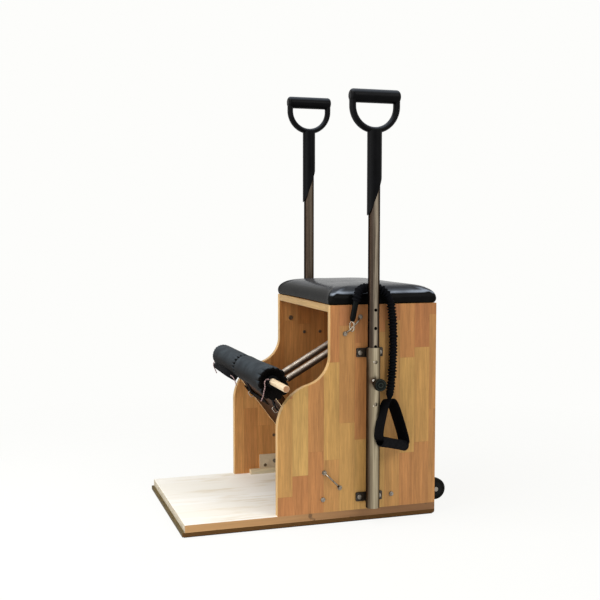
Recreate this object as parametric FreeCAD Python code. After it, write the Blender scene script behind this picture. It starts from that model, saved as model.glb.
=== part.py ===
import FreeCAD, Part
import math
import os

# A wooden pilates chair: a box with a padded seat on a long base, two foot pedals on springs, two hand poles
# that slide in sleeves, and a clip-on resistance cord. Lengths are in millimetres and angles in degrees.
# X runs across the chair with its right side at +X, Y from front to rear, Z up from the floor under the base.

# Base
base_width = 500.0
base_depth = 730.0
mat_thickness = 3.0
mat_inset = 5.0
underlay_thickness = 11.0
underlay_heel_radius = 7.0
base_board_thickness = 20.0
board_edge_radius = 1.5
front_lip = 7.0

# Box
box_height = 606.0
panel_thickness = 20.0
panel_low_setback_share = 0.3589
panel_high_setback_share = 0.5644
hollow_radius = 80.0
hollow_drop = 138.0
swell_radius = 122.0
back_thickness = 20.0
top_thickness = 20.0
cleat_width = 20.0
cleat_height = 14.0
cleat_stand_out = 48.0

# Seat
cushion_thickness = 52.0
cushion_overhang = 5.0
cushion_corner_radius = 26.0
cushion_draw_in = 3.0
cushion_board_thickness = 12.0
cushion_board_margin = 22.0
cushion_height_shares = (0.0, 0.14, 0.40, 0.60, 0.76, 0.87, 0.95, 1.0)
cushion_inset_shares = (0.024, 0.0, 0.0, 0.024, 0.079, 0.171, 0.366, 0.683)

# Pedal levers and their pivot
pivot_setback_share = 0.676
pivot_plate_share = 0.411
pivot_plate_height = 44.0
pivot_plate_thickness = 6.0
axle_diameter = 16.0
running_clearance = 0.06
roller_setback_share = 0.3274
roller_height = 410.0
lever_board_width = 200.0
lever_board_thickness = 20.0
lever_board_foot = 15.0
lever_gap = 5.0
hinge_tube_diameter = 26.0
hinge_tube_gap = 2.0
hinge_tongue_width = 150.0
hinge_tongue_height = 90.0
hinge_tongue_thickness = 4.0
roller_diameter = 72.0
roller_overhang = 37.0
roller_gap = 2.0
roller_end_round = 12.0
roller_end_dish = 5.0
roller_gather_diameter = 40.0
core_diameter = 34.0
core_inset = 3.0
soft_clearance = 0.3
dowel_diameter = 18.0
dowel_stand_out = 120.0
dowel_in_left = 150.0
dowel_edge_radius = 2.0
strap_width = 25.0
strap_thickness = 2.0
strap_length = 98.0
strap_place = 130.0

# Springs
spring_place = 39.0
spring_turns = 48
spring_wire_diameter = 6.5
spring_mean_radius = 6.75
hook_radius = 8.5
hook_reach = 14.0
spring_bar_diameter = 8.0
seat_clearance = 0.3
lever_eye_stand_off = 22.0
lever_eye_span = 44.0
lever_eye_drop = 91.7
eye_plate_thickness = 3.0
eye_plate_width = 26.0
eye_plate_margin = 10.0
link_wire_diameter = 5.0
link_mean_width = 19.0
link_mean_length = 38.0
link_slack = 8.5
rail_height = 34.0
rail_thickness = 6.0
rail_drop = 3.0
rail_eye_reach = 17.0
rail_eye_span = 30.0

# Hand poles
upright_setback_share = 0.7219
upright_stand_off = 30.0
pole_diameter = 32.0
pole_wall = 2.0
pole_low_cover = 150.0
pole_length = 820.0
pole_hole_diameter = 9.0
pole_hole_pitch = 50.0
pole_hole_count = 7
pole_holes_below_plunger = 2
left_pole_holes_up = 1
sleeve_diameter = 38.0
sleeve_bottom = 46.0
sleeve_above_plunger = 97.0
sleeve_hole_diameter = 10.0
sleeve_hole_pitch = 58.0
bracket_width = 78.0
bracket_height = 25.0
bracket_thickness = 4.0
bracket_corner_radius = 3.0
bracket_saddle_width = 24.0
low_bracket_height = 70.0
high_bracket_drop = 17.0
bracket_bolt_spacing = 58.0
bracket_screw_depth = 14.0
weld_clearance = 0.1
plunger_drop = 212.0
plunger_pin_diameter = 8.0
plunger_barrel_diameter = 15.0
plunger_barrel_length = 17.0
plunger_nut_diameter = 20.0
plunger_nut_length = 6.0
knob_diameter = 34.0
knob_thickness = 15.0
knob_edge_radius = 4.0
knob_neck_diameter = 22.0
knob_neck_length = 4.0

# Hand grips on the poles
socket_diameter = 40.0
socket_front_low = 214.0
socket_rear_low = 108.0
grip_width = 144.0
grip_bar_diameter = 37.0
grip_bar_drop = 19.0
grip_end_radius = 10.0
grip_arm_thickness = 17.0
grip_arm_depth = 28.0
grip_arm_straight = 8.0
grip_top_above_pole = 123.5
socket_blind_gap = 0.5

# Bolts, screws and rope eyes on the side panels
bolt_diameter = 6.0
bolt_head_diameter = 13.0
bolt_head_height = 4.0
bolt_dome_radius = 2.0
bolt_nut_diameter = 13.0
bolt_nut_height = 5.0
hole_clearance = 0.2
plate_bolt_spacing_share = 0.278
eye_tab_diameter = 13.0
eye_tab_thickness = 2.5
eye_bar_diameter = 5.0
eye_bar_rise = 12.0
eye_length = 64.0
eye_bar_length = 34.0
upper_eye_forward = 49.5
upper_eye_drop = 56.0
lower_eye_forward = 109.0
lower_eye_height = 122.5
eye_slope = 45.0
eye_screw_diameter = 4.0
eye_screw_head_diameter = 9.0
eye_screw_head_height = 2.5
eye_screw_depth = 14.0

# Wheels at the rear
wheel_diameter = 63.0
wheel_width = 22.0
wheel_place = 172.0
wheel_height = 51.0
wheel_hub_diameter = 40.0
wheel_gap = 1.5
wheel_edge_radius = 5.0
tyre_clearance = 0.1
wheel_axle_diameter = 8.0
wheel_plate_width = 62.0
wheel_plate_height = 40.0
wheel_plate_thickness = 3.0
wheel_ear_height = 26.0
wheel_ear_tail = 10.0
wheel_ear_gap = 1.0
wheel_axle_head_diameter = 14.0
wheel_axle_head_height = 4.0
wheel_cap_gap = 0.6

# Resistance cord with its hook and hand grip, as points from the panel's outer face, the pole and the seat
# board, and the drawstrings of the roller covers, as points from the rollers
cord_diameter = 20.0
cord_offsets = (
    (17.0, -46.5, 11.0),
    (18.3, -44.0, 26.2),
    (12.0, -35.5, 41.5),
    (0.3, -18.0, 46.0),
    (0.3, 16.0, 46.3),
    (8.5, 34.0, 41.0),
    (16.0, 48.0, 26.0),
    (18.0, 57.0, 1.0),
    (16.5, 62.5, -41.0),
    (14.0, 66.0, -101.0),
    (14.0, 65.0, -161.0),
    (16.5, 60.0, -213.0),
    (26.0, 51.0, -248.0),
)
ferrule_diameter = 16.0
ferrule_length = 55.0
ferrule_tip_diameter = 12.0
ferrule_tip_length = 8.0
snap_wire_diameter = 4.0
snap_width = 14.0
snap_bar_share = 0.55
snap_slack = 4.0
snap_turn = 32.0
tail_end_diameter = 10.0
tail_length = 14.0
hand_strap_width = 24.0
hand_strap_thickness = 2.5
hand_strap_overrun = 17.0
hand_strap_peak_rise = 4.2
hand_grip_diameter = 30.0
hand_grip_bore = 26.0
hand_grip_edge_radius = 3.0
hand_grip_right_offset = (23.0, 99.5, -396.0)
hand_grip_left_offset = (76.0, 2.0, -366.0)
hand_strap_corner_radius = 4.5
drawstring_diameter = 3.0
right_drawstring_offsets = (
    (-3.0, -11.0, 7.0),
    (3.0, -11.0, 7.0),
    (6.0, -17.0, 10.0),
    (6.0, -23.5, 6.5),
    (4.5, -25.0, -2.0),
    (4.0, -22.5, -12.0),
    (4.0, -26.5, -23.0),
    (4.5, -28.0, -36.0),
    (4.0, -34.0, -48.5),
)
left_drawstring_offsets = (
    (-143.0, -23.85, -27.02),
    (-143.0, -27.1, -30.7),
    (-134.0, -28.5, -36.0),
    (-124.0, -27.5, -38.5),
    (-109.0, -27.0, -39.0),
    (-84.0, -27.5, -35.0),
    (-58.0, -27.5, -32.0),
    (-36.0, -27.0, -36.0),
    (-21.0, -26.0, -44.0),
    (-12.5, -25.0, -54.5),
)
left_end_drawstring_offsets = (
    (-0.05, -19.2, -14.4),
    (-6.0, -19.2, -14.4),
    (-8.5, -22.5, -17.5),
    (-8.5, -28.5, -24.0),
    (-6.5, -30.5, -33.0),
    (-4.0, -25.5, -44.0),
    (-3.0, -20.0, -58.0),
)

# Places worked out from the sizes above
cut_overrun = 10.0
base_front = -base_depth / 2
base_rear = base_depth / 2
underlay_top = mat_thickness + underlay_thickness
base_top = underlay_top + base_board_thickness
panel_outer = base_width / 2
panel_inner = panel_outer - panel_thickness
low_front = base_front + panel_low_setback_share * base_depth
high_front = base_front + panel_high_setback_share * base_depth
hollow_height = box_height - hollow_drop
back_front = base_rear - back_thickness
top_underside = box_height - top_thickness
cleat_top = base_top + cleat_height
pivot_y = base_front + pivot_setback_share * base_depth
pivot_plate_length = pivot_plate_share * base_depth
pivot_z = cleat_top + pivot_plate_height / 2
roller_y = base_front + roller_setback_share * base_depth
lever_length = math.hypot(pivot_y - roller_y, roller_height - pivot_z)
lever_tilt = math.degrees(math.atan2(pivot_y - roller_y, roller_height - pivot_z))
lever_eye_up = lever_length - lever_eye_drop
axle_bore_radius = axle_diameter / 2 + running_clearance
plate_face = panel_inner - pivot_plate_thickness
roller_end = panel_outer + roller_overhang
upright_x = panel_outer + upright_stand_off
upright_y = base_front + upright_setback_share * base_depth
plunger_height = box_height - plunger_drop
sleeve_top = plunger_height + sleeve_above_plunger
bracket_heights = (low_bracket_height, sleeve_top - high_bracket_drop)
sleeve_bore_radius = pole_diameter / 2 + running_clearance
pole_bottom = plunger_height - pole_low_cover
pole_top = pole_bottom + pole_length
grip_top = pole_top + grip_top_above_pole
wheel_y = base_rear + wheel_plate_thickness + wheel_gap + wheel_diameter / 2


def beside(place, offsets):
    return [tuple(start + step for start, step in zip(place, offset)) for offset in offsets]


pole_by_seat = (panel_outer, upright_y, box_height)
cord_route = beside(pole_by_seat, cord_offsets)
hand_grip_right, hand_grip_left = beside(pole_by_seat, (hand_grip_right_offset, hand_grip_left_offset))
right_drawstring_route = beside((roller_end, roller_y, roller_height), right_drawstring_offsets)
left_drawstring_route = beside((0, roller_y, roller_height), left_drawstring_offsets)
left_end_drawstring_route = beside((-roller_end, roller_y, roller_height), left_end_drawstring_offsets)


def point(x, y, z):
    return FreeCAD.Vector(x, y, z)


def box(x_low, x_high, y_low, y_high, z_low, z_high):
    return Part.makeBox(x_high - x_low, y_high - y_low, z_high - z_low, point(x_low, y_low, z_low))


def rod(radius, start, end):
    run = end.sub(start)
    return Part.makeCylinder(radius, run.Length, start, run)


def tube(outer_radius, inner_radius, start, end):
    return rod(outer_radius, start, end).cut(rod(inner_radius, start, end))


def across(radius, x_low, x_high, y, z):
    return rod(radius, point(x_low, y, z), point(x_high, y, z))


def mirrored(shape):
    return shape.mirror(point(0, 0, 0), point(1, 0, 0))


def save(name, shape):
    shape.exportStep(os.path.join("parts", name + ".step"))
    saved.append(name)


def save_pair(name, shape):
    save("right_" + name, shape)
    save("left_" + name, mirrored(shape))


def both_sides(shapes):
    return Part.makeCompound(shapes + [mirrored(shape) for shape in shapes])


def round_edges(shape, radius, wanted):
    return shape.makeFillet(radius, [edge for edge in shape.Edges if wanted(edge)])


def edge_middle(edge):
    return edge.valueAt((edge.FirstParameter + edge.LastParameter) / 2)


def at_height(edge, z):
    return abs(edge.BoundBox.ZMin - z) + abs(edge.BoundBox.ZMax - z) < fine


def at_depth(edge, y):
    return abs(edge.BoundBox.YMin - y) + abs(edge.BoundBox.YMax - y) < fine


def at_side(edge, x):
    return abs(edge.BoundBox.XMin - x) + abs(edge.BoundBox.XMax - x) < fine


def arc_edge(start, tangent, end):
    # The arc that leaves start along tangent and reaches end.
    chord = end.sub(start)
    along = chord / chord.Length
    side = tangent - along * tangent.dot(along)
    turn = math.acos(max(-1.0, min(1.0, tangent.dot(along) / tangent.Length)))
    middle = start + chord / 2 + side / side.Length * (chord.Length / 2 * math.tan(turn / 2))
    return Part.Arc(start, middle, end).toShape()


def biarc(start, start_tangent, end, end_tangent):
    # Two arcs that meet smoothly, from one point and direction to another.
    span = end - start
    both = start_tangent + end_tangent
    spread = 2 * (1 - start_tangent.dot(end_tangent))
    reach = (-span.dot(both) + math.sqrt(span.dot(both) ** 2 + spread * span.dot(span))) / spread
    middle = (start + end + (start_tangent - end_tangent) * reach) / 2
    first = arc_edge(start, start_tangent, middle)
    last = arc_edge(end, end_tangent * -1, middle)
    return [first, last]


def ordered_wire(edges):
    return Part.Wire(Part.__sortEdges__(edges))


def pipe(edges, radius, start, direction):
    section = Part.Wire(Part.makeCircle(radius, start, direction))
    return ordered_wire(edges).makePipeShell([section], True, False)


def route_pipe(name, route, radius):
    # A tube along straight runs joined by tangent arcs, each as large as its two runs allow.
    arc_reach_share = 0.45
    points = [point(*place) for place in route]
    edges = []
    radii = []
    here = points[0]
    for before, corner, after in zip(points, points[1:], points[2:]):
        arriving = (corner - before) / (corner - before).Length
        leaving = (after - corner) / (after - corner).Length
        half_turn = arriving.getAngle(leaving) / 2
        trim = arc_reach_share * min((corner - before).Length, (after - corner).Length)
        radii.append(trim / math.tan(half_turn))
        arc_start = corner - arriving * trim
        arc_end = corner + leaving * trim
        edges.append(Part.LineSegment(here, arc_start).toShape())
        edges.append(arc_edge(arc_start, arriving, arc_end))
        here = arc_end
    edges.append(Part.LineSegment(here, points[-1]).toShape())
    solid = pipe(edges, radius, points[0], points[1] - points[0])
    length = sum(edge.Length for edge in edges)
    fill = solid.Volume / (math.pi * radius ** 2 * length)
    print(name, "length", round(length, 1), "volume over section times length", round(fill, 4))
    print(name, "arc radii", [round(value, 1) for value in radii])
    return solid


def dome_screw(x_head, y, z, x_tip):
    # A round-headed screw along X, its head on the outside.
    head = across(bolt_head_diameter / 2, x_head, x_head + bolt_head_height, y, z)
    head = round_edges(head, bolt_dome_radius, lambda edge: at_side(edge, x_head + bolt_head_height))
    return head.fuse(across(bolt_diameter / 2, x_tip, x_head, y, z)).removeSplitter()


def dome_bolt(x_head, y, z, x_nut):
    # The same with a nut inside the panel.
    nut = hexagon(bolt_nut_diameter, x_nut - bolt_nut_height, x_nut, y, z)
    return dome_screw(x_head, y, z, x_nut - bolt_nut_height).fuse(nut).removeSplitter()


def hexagon(across_corners, x_low, x_high, y, z):
    corners = []
    for step in range(7):
        angle = math.radians(60 * step)
        reach = across_corners / 2
        corners.append(point(x_low, y + reach * math.cos(angle), z + reach * math.sin(angle)))
    return Part.Face(Part.makePolygon(corners)).extrude(point(x_high - x_low, 0, 0))


fine = 0.001
saved = []
os.makedirs("parts", exist_ok=True)

# Base: a rubber mat, a thin underlay that stands out at the front, and the floor board
mat = box(
    -panel_outer + mat_inset,
    panel_outer - mat_inset,
    base_front + mat_inset,
    base_rear - mat_inset,
    0,
    mat_thickness,
)
save("anti_slip_mat", mat)

underlay = box(-panel_outer, panel_outer, base_front, base_rear, mat_thickness, underlay_top)
underlay = round_edges(
    underlay, underlay_heel_radius, lambda edge: at_height(edge, mat_thickness) and at_depth(edge, base_rear)
)
save("base_underlay", underlay)

base_board = box(-panel_outer, panel_outer, base_front + front_lip, base_rear, underlay_top, base_top)
base_board = round_edges(
    base_board,
    board_edge_radius,
    lambda edge: at_height(edge, base_top) and at_depth(edge, base_front + front_lip),
)
save("base_board", base_board)

# Side panels with their drawn front edge, drilled for bolts and screws
hollow_y = high_front - hollow_radius
swell_y = low_front + swell_radius
swell_z = hollow_height - math.sqrt((hollow_radius + swell_radius) ** 2 - (swell_y - hollow_y) ** 2)


def on_circle(x, y, z, radius, angle):
    return point(x, y + radius * math.cos(angle), z + radius * math.sin(angle))


def panel_outline(x):
    join_angle = math.atan2(hollow_height - swell_z, hollow_y - swell_y)
    swell_start = point(x, low_front, swell_z)
    swell_middle = on_circle(x, swell_y, swell_z, swell_radius, (math.pi + join_angle) / 2)
    join = on_circle(x, swell_y, swell_z, swell_radius, join_angle)
    hollow_middle = on_circle(x, hollow_y, hollow_height, hollow_radius, (join_angle - math.pi) / 2)
    hollow_end = point(x, high_front, hollow_height)
    corners = (
        hollow_end,
        point(x, high_front, box_height),
        point(x, base_rear, box_height),
        point(x, base_rear, base_top),
        point(x, low_front, base_top),
        swell_start,
    )
    edges = [Part.LineSegment(start, end).toShape() for start, end in zip(corners, corners[1:])]
    edges.append(Part.Arc(swell_start, swell_middle, join).toShape())
    edges.append(Part.Arc(join, hollow_middle, hollow_end).toShape())
    return Part.Face(ordered_wire(edges))


def front_edge(edge):
    middle = edge_middle(edge)
    on_face = at_side(edge, panel_inner) or at_side(edge, panel_outer)
    inside = middle.y < high_front + fine and base_top + fine < middle.z < box_height - fine
    return on_face and inside


bracket_bolt_ys = (upright_y - bracket_bolt_spacing / 2, upright_y + bracket_bolt_spacing / 2)
bracket_bolt_places = [(y, z) for y in bracket_bolt_ys for z in bracket_heights]
plate_bolt_half = plate_bolt_spacing_share * base_depth / 2
plate_bolt_places = [(pivot_y - plate_bolt_half, pivot_z), (pivot_y + plate_bolt_half, pivot_z)]
eye_half = eye_length / 2
eye_rise = math.radians(eye_slope)
upper_eye = (upright_y - upper_eye_forward, box_height - upper_eye_drop, 1)
lower_eye = (upright_y - lower_eye_forward, lower_eye_height, -1)


def eye_ends(eye):
    y, z, way = eye
    step = point(0, eye_half * math.cos(eye_rise), way * eye_half * math.sin(eye_rise))
    return [point(panel_outer, y, z) - step, point(panel_outer, y, z) + step]


panel = panel_outline(panel_inner).extrude(point(panel_thickness, 0, 0))
panel = round_edges(panel, board_edge_radius, front_edge)
bracket_screw_tip = panel_outer - bracket_screw_depth
bolt_holes = [(y, z, panel_inner - cut_overrun) for y, z in plate_bolt_places]
bolt_holes += [(y, z, bracket_screw_tip - hole_clearance) for y, z in bracket_bolt_places]
for y, z, hole_floor in bolt_holes:
    panel = panel.cut(across(bolt_diameter / 2 + hole_clearance, hole_floor, panel_outer + cut_overrun, y, z))
for end in eye_ends(upper_eye) + eye_ends(lower_eye):
    screw_floor = panel_outer - eye_screw_depth - hole_clearance
    hole_radius = eye_screw_diameter / 2 + hole_clearance
    hole = across(hole_radius, screw_floor, panel_outer + cut_overrun, end.y, end.z)
    panel = panel.cut(hole)
save_pair("side_panel", panel)

# Back, top board and the strips that hold the panels to the base
save("back_panel", box(-panel_inner, panel_inner, back_front, base_rear, base_top, top_underside))
top_board = box(-panel_inner, panel_inner, high_front, base_rear, top_underside, box_height)
top_board = round_edges(
    top_board, board_edge_radius, lambda edge: at_height(edge, top_underside) and at_depth(edge, high_front)
)
save("top_board", top_board)
cleat_front = low_front + cleat_stand_out
cleat = box(panel_inner - cleat_width, panel_inner, cleat_front, back_front, base_top, cleat_top)
save("base_cleats", both_sides([cleat]))

# Seat: a board inside a crowned cushion whose sides draw in between the corners
seat_middle_y = (high_front + base_rear) / 2
seat_half_x = panel_outer + cushion_overhang
seat_half_y = (base_rear - high_front) / 2 + cushion_overhang


def cushion_outline(inset, z):
    half_x = seat_half_x - inset
    half_y = seat_half_y - inset
    radius = cushion_corner_radius
    slant = radius * math.sqrt(0.5)
    edges = []
    for way_x, way_y in ((1, 1), (-1, 1), (-1, -1), (1, -1)):
        centre = point(way_x * (half_x - radius), seat_middle_y + way_y * (half_y - radius), z)
        along_x = centre + point(way_x * radius, 0, 0)
        along_y = centre + point(0, way_y * radius, 0)
        bow = centre + point(way_x * slant, way_y * slant, 0)
        edges.append(Part.Arc(along_x, bow, along_y).toShape())
    for way in (1, -1):
        side = point(way * half_x, seat_middle_y, z)
        end = point(0, half_y - radius, 0)
        edges.append(Part.Arc(side - end, side - point(way * cushion_draw_in, 0, 0), side + end).toShape())
        front = point(0, seat_middle_y + way * half_y, z)
        end = point(half_x - radius, 0, 0)
        edges.append(Part.Arc(front - end, front - point(0, way * cushion_draw_in, 0), front + end).toShape())
    return ordered_wire(edges)


seat_board_box = (
    -seat_half_x + cushion_board_margin,
    seat_half_x - cushion_board_margin,
    seat_middle_y - seat_half_y + cushion_board_margin,
    seat_middle_y + seat_half_y - cushion_board_margin,
)
cushion_heights = [box_height + share * cushion_thickness for share in cushion_height_shares]
cushion_insets = [share * seat_half_y for share in cushion_inset_shares]
cushion_sections = [cushion_outline(inset, z) for inset, z in zip(cushion_insets, cushion_heights)]
cushion = Part.makeLoft(cushion_sections, True, True)
cushion_pocket = box(
    seat_board_box[0] - soft_clearance,
    seat_board_box[1] + soft_clearance,
    seat_board_box[2] - soft_clearance,
    seat_board_box[3] + soft_clearance,
    box_height - cut_overrun,
    box_height + cushion_board_thickness,
)
save("seat_cushion", cushion.cut(cushion_pocket))
save("cushion_board", box(*seat_board_box, box_height, box_height + cushion_board_thickness))

# Pivot: a steel plate inside each panel carries the axle
plate = box(
    plate_face,
    panel_inner,
    pivot_y - pivot_plate_length / 2,
    pivot_y + pivot_plate_length / 2,
    cleat_top,
    cleat_top + pivot_plate_height,
)
plate = round_edges(
    plate,
    bracket_corner_radius,
    lambda edge: abs(edge.Length - pivot_plate_thickness) < fine,
)
plate = plate.cut(across(axle_bore_radius, plate_face - cut_overrun, panel_inner, pivot_y, pivot_z))
for y, z in plate_bolt_places:
    plate = plate.cut(across(bolt_diameter / 2 + hole_clearance, plate_face - cut_overrun, panel_inner, y, z))
save("pivot_plates", both_sides([plate]))
axle_reach = panel_inner - hole_clearance
save("pivot_axle", across(axle_diameter / 2, -axle_reach, axle_reach, pivot_y, pivot_z))

# Pedals, each drawn upright over the pivot at the origin and then tilted forward to its place
lever_x_low = lever_gap
lever_x_high = lever_gap + lever_board_width
half_board = lever_board_thickness / 2
core_radius = core_diameter / 2


def on_lever(shape):
    placed = shape.copy()
    placed.rotate(point(0, 0, 0), point(1, 0, 0), lever_tilt)
    placed.translate(point(0, pivot_y, pivot_z))
    return placed


lever_board = box(lever_x_low, lever_x_high, -half_board, half_board, lever_board_foot, lever_length)
seat_low = lever_x_low - cut_overrun
seat_high = lever_x_high + cut_overrun
core_seat = across(core_radius + weld_clearance, seat_low, seat_high, 0, lever_length)
lever_board = lever_board.cut(core_seat)
board_solids = sorted(lever_board.Solids, key=lambda solid: solid.Volume)
save_pair("pedal_board", on_lever(board_solids[-1]))

hinge_x_high = plate_face - hinge_tube_gap
hinge_x_low = hinge_tube_gap
hinge_tube = across(hinge_tube_diameter / 2, hinge_x_low, hinge_x_high, 0, 0)
tongue_middle = (lever_x_low + lever_x_high) / 2
tongue = box(
    tongue_middle - hinge_tongue_width / 2,
    tongue_middle + hinge_tongue_width / 2,
    half_board,
    half_board + hinge_tongue_thickness,
    0,
    hinge_tongue_height,
)
hinge = hinge_tube.fuse(tongue).removeSplitter()
hinge = hinge.cut(across(axle_bore_radius, hinge_x_low - cut_overrun, hinge_x_high + cut_overrun, 0, 0))
save_pair("pedal_hinge", on_lever(hinge))

dowel_bore_radius = dowel_diameter / 2 + running_clearance
core = across(core_radius, roller_gap + core_inset, roller_end - core_inset, 0, lever_length)
core = core.cut(across(dowel_bore_radius, 0, roller_end, 0, lever_length))
save_pair("pedal_core", on_lever(core))


def roller_profile():
    # Half section of the padded roller over its axis: round shoulders that are drawn in to dished ends.
    outer = roller_diameter / 2
    gather = roller_gather_diameter / 2
    bore = core_radius + soft_clearance
    slant = 1 - math.sqrt(0.5)
    rim_low = roller_gap + roller_end_round
    rim_high = roller_end - roller_end_round
    shoulder = outer - roller_end_round
    arcs = []
    for rim, end, way in ((rim_low, roller_gap, 1), (rim_high, roller_end, -1)):
        bow = point(end + way * roller_end_round * slant, 0, lever_length + outer - roller_end_round * slant)
        arc_low = point(end, 0, lever_length + shoulder)
        arc_high = point(rim, 0, lever_length + outer)
        arcs.append(Part.Arc(arc_low, bow, arc_high).toShape())
    dish_low = roller_gap + roller_end_dish
    dish_high = roller_end - roller_end_dish
    lines = (
        (rim_low, outer, rim_high, outer),
        (roller_end, shoulder, dish_high, gather),
        (dish_high, gather, dish_high, bore),
        (dish_high, bore, dish_low, bore),
        (dish_low, bore, dish_low, gather),
        (dish_low, gather, roller_gap, shoulder),
    )
    edges = []
    for x_start, z_start, x_end, z_end in lines:
        start = point(x_start, 0, lever_length + z_start)
        end = point(x_end, 0, lever_length + z_end)
        edges.append(Part.LineSegment(start, end).toShape())
    return Part.Face(ordered_wire(edges + arcs))


roller = roller_profile().revolve(point(0, 0, lever_length), point(1, 0, 0), 360)
board_slot = box(
    lever_x_low - soft_clearance,
    lever_x_high + soft_clearance,
    -half_board - soft_clearance,
    half_board + soft_clearance,
    lever_length - roller_diameter,
    lever_length,
)
save_pair("pedal_roller", on_lever(roller.cut(board_slot)))

strap_top = lever_length - roller_diameter / 2 - soft_clearance
strap = box(
    strap_place - strap_width / 2,
    strap_place + strap_width / 2,
    -half_board - strap_thickness,
    -half_board,
    strap_top - strap_length,
    strap_top,
)
save_pair("pedal_strap", on_lever(strap))

dowel = across(dowel_diameter / 2, -dowel_in_left, roller_end + dowel_stand_out, 0, lever_length)
dowel = round_edges(dowel, dowel_edge_radius, lambda edge: at_side(edge, roller_end + dowel_stand_out))
save("pedal_dowel", on_lever(dowel))


def bar_eye(span, rise, plate_length, plate_width):
    # A bar of length span held over a plate by two legs, with the plate's face at z = 0 and the bar along X.
    radius = spring_bar_diameter / 2
    half_length = plate_length / 2
    half_width = plate_width / 2
    solid = box(-half_length, half_length, -half_width, half_width, 0, eye_plate_thickness)
    legs = [rod(radius, point(way * span / 2, 0, 0), point(way * span / 2, 0, rise)) for way in (-1, 1)]
    ends = [Part.makeSphere(radius, point(way * span / 2, 0, rise)) for way in (-1, 1)]
    bar = rod(radius, point(-span / 2, 0, rise), point(span / 2, 0, rise))
    return solid.fuse(legs + ends + [bar]).removeSplitter()


lever_eye_plate = lever_eye_span + 2 * eye_plate_margin
lever_eye = bar_eye(lever_eye_span, lever_eye_stand_off, lever_eye_plate, eye_plate_width)
lever_eye.rotate(point(0, 0, 0), point(0, 0, 1), 90)
lever_eye.rotate(point(0, 0, 0), point(1, 0, 0), -90)
lever_eye.translate(point(spring_place, half_board, lever_eye_up))
save_pair("spring_eye", on_lever(lever_eye))

# Spring rail under the seat, with an eye for each spring, and the line of the springs between the two eyes
rail_face = back_front - rail_thickness
rail_top = top_underside - rail_drop
rail_eye_y = rail_face - rail_eye_reach
rail_eye_z = rail_top - rail_height / 2
rail = box(-panel_inner, panel_inner, rail_face, back_front, rail_top - rail_height, rail_top)
for way in (-1, 1):
    rail_eye = bar_eye(rail_eye_span, rail_eye_reach, rail_eye_span + 2 * eye_plate_margin, eye_plate_width)
    rail_eye.rotate(point(0, 0, 0), point(1, 0, 0), 90)
    rail_eye.translate(point(way * spring_place, rail_face, rail_eye_z))
    rail = rail.fuse(rail_eye)
save("spring_rail", rail.removeSplitter())

lever_bar = point(spring_place, half_board + lever_eye_stand_off, lever_eye_up)
lever_bar = FreeCAD.Rotation(point(1, 0, 0), lever_tilt).multVec(lever_bar) + point(0, pivot_y, pivot_z)
rail_bar = point(spring_place, rail_eye_y, rail_eye_z)
spring_line = rail_bar - lever_bar
spring_tilt = math.degrees(math.atan2(-spring_line.y, spring_line.z))
print("spring line from", lever_bar, "to", rail_bar, "length", round(spring_line.Length, 2))


def on_spring_line(shape):
    placed = shape.copy()
    placed.rotate(point(0, 0, 0), point(1, 0, 0), spring_tilt)
    placed.translate(lever_bar)
    return placed


wire_radius = spring_wire_diameter / 2
link_radius = link_wire_diameter / 2
bar_radius = spring_bar_diameter / 2
hook_tip = hook_reach + hook_radius
link_low = -bar_radius - link_slack - link_radius
link_high = link_low + link_mean_length
coil_low = link_high + hook_tip - wire_radius - seat_clearance - link_radius
coil_high = spring_line.Length - hook_tip + wire_radius + seat_clearance + bar_radius
spring_pitch = (coil_high - coil_low) / spring_turns


def coil_place(angle):
    lift = coil_low + spring_pitch * angle / (2 * math.pi)
    return point(spring_mean_radius * math.cos(angle), spring_mean_radius * math.sin(angle), lift)


def coil_heading(angle):
    climb = spring_pitch / (2 * math.pi)
    heading = point(-spring_mean_radius * math.sin(angle), spring_mean_radius * math.cos(angle), climb)
    return heading / heading.Length


def hook_edges(angle, way):
    # From the last turn over into a half loop in the YZ plane, ending in a short straight tail.
    root = coil_place(angle)
    centre = point(0, 0, root.z + way * hook_reach)
    slant = hook_radius * math.sqrt(0.5)
    loop_start = centre + point(0, way * hook_radius, 0)
    loop_top = centre + point(0, 0, way * hook_radius)
    loop_end = centre - point(0, way * hook_radius, 0)
    tail = loop_end - point(0, 0, way * spring_wire_diameter)
    edges = biarc(root, coil_heading(angle) * way, loop_start, point(0, 0, way))
    edges.append(Part.Arc(loop_start, centre + point(0, way * slant, way * slant), loop_top).toShape())
    edges.append(Part.Arc(loop_top, centre + point(0, -way * slant, way * slant), loop_end).toShape())
    edges.append(Part.LineSegment(loop_end, tail).toShape())
    return edges, tail


def least_gap(edges, wire_diameter):
    # Least clear distance between stretches of the wire that are more than half a turn apart along it.
    step_share = 0.25
    step = wire_diameter * step_share
    apart = math.pi * spring_mean_radius
    places = []
    run = 0.0
    for edge in Part.__sortEdges__(edges):
        count = max(2, round(edge.Length / step))
        spots = edge.discretize(count + 1)
        places += [(run + edge.Length * index / count, spot) for index, spot in enumerate(spots)]
        run += edge.Length
    nearest = math.inf
    window = 12 * apart
    for index, (reach, spot) in enumerate(places):
        for other_reach, other in places[index + 1:]:
            if other_reach - reach > window:
                break
            if other_reach - reach > apart:
                nearest = min(nearest, spot.distanceToPoint(other))
    return nearest - wire_diameter


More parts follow.
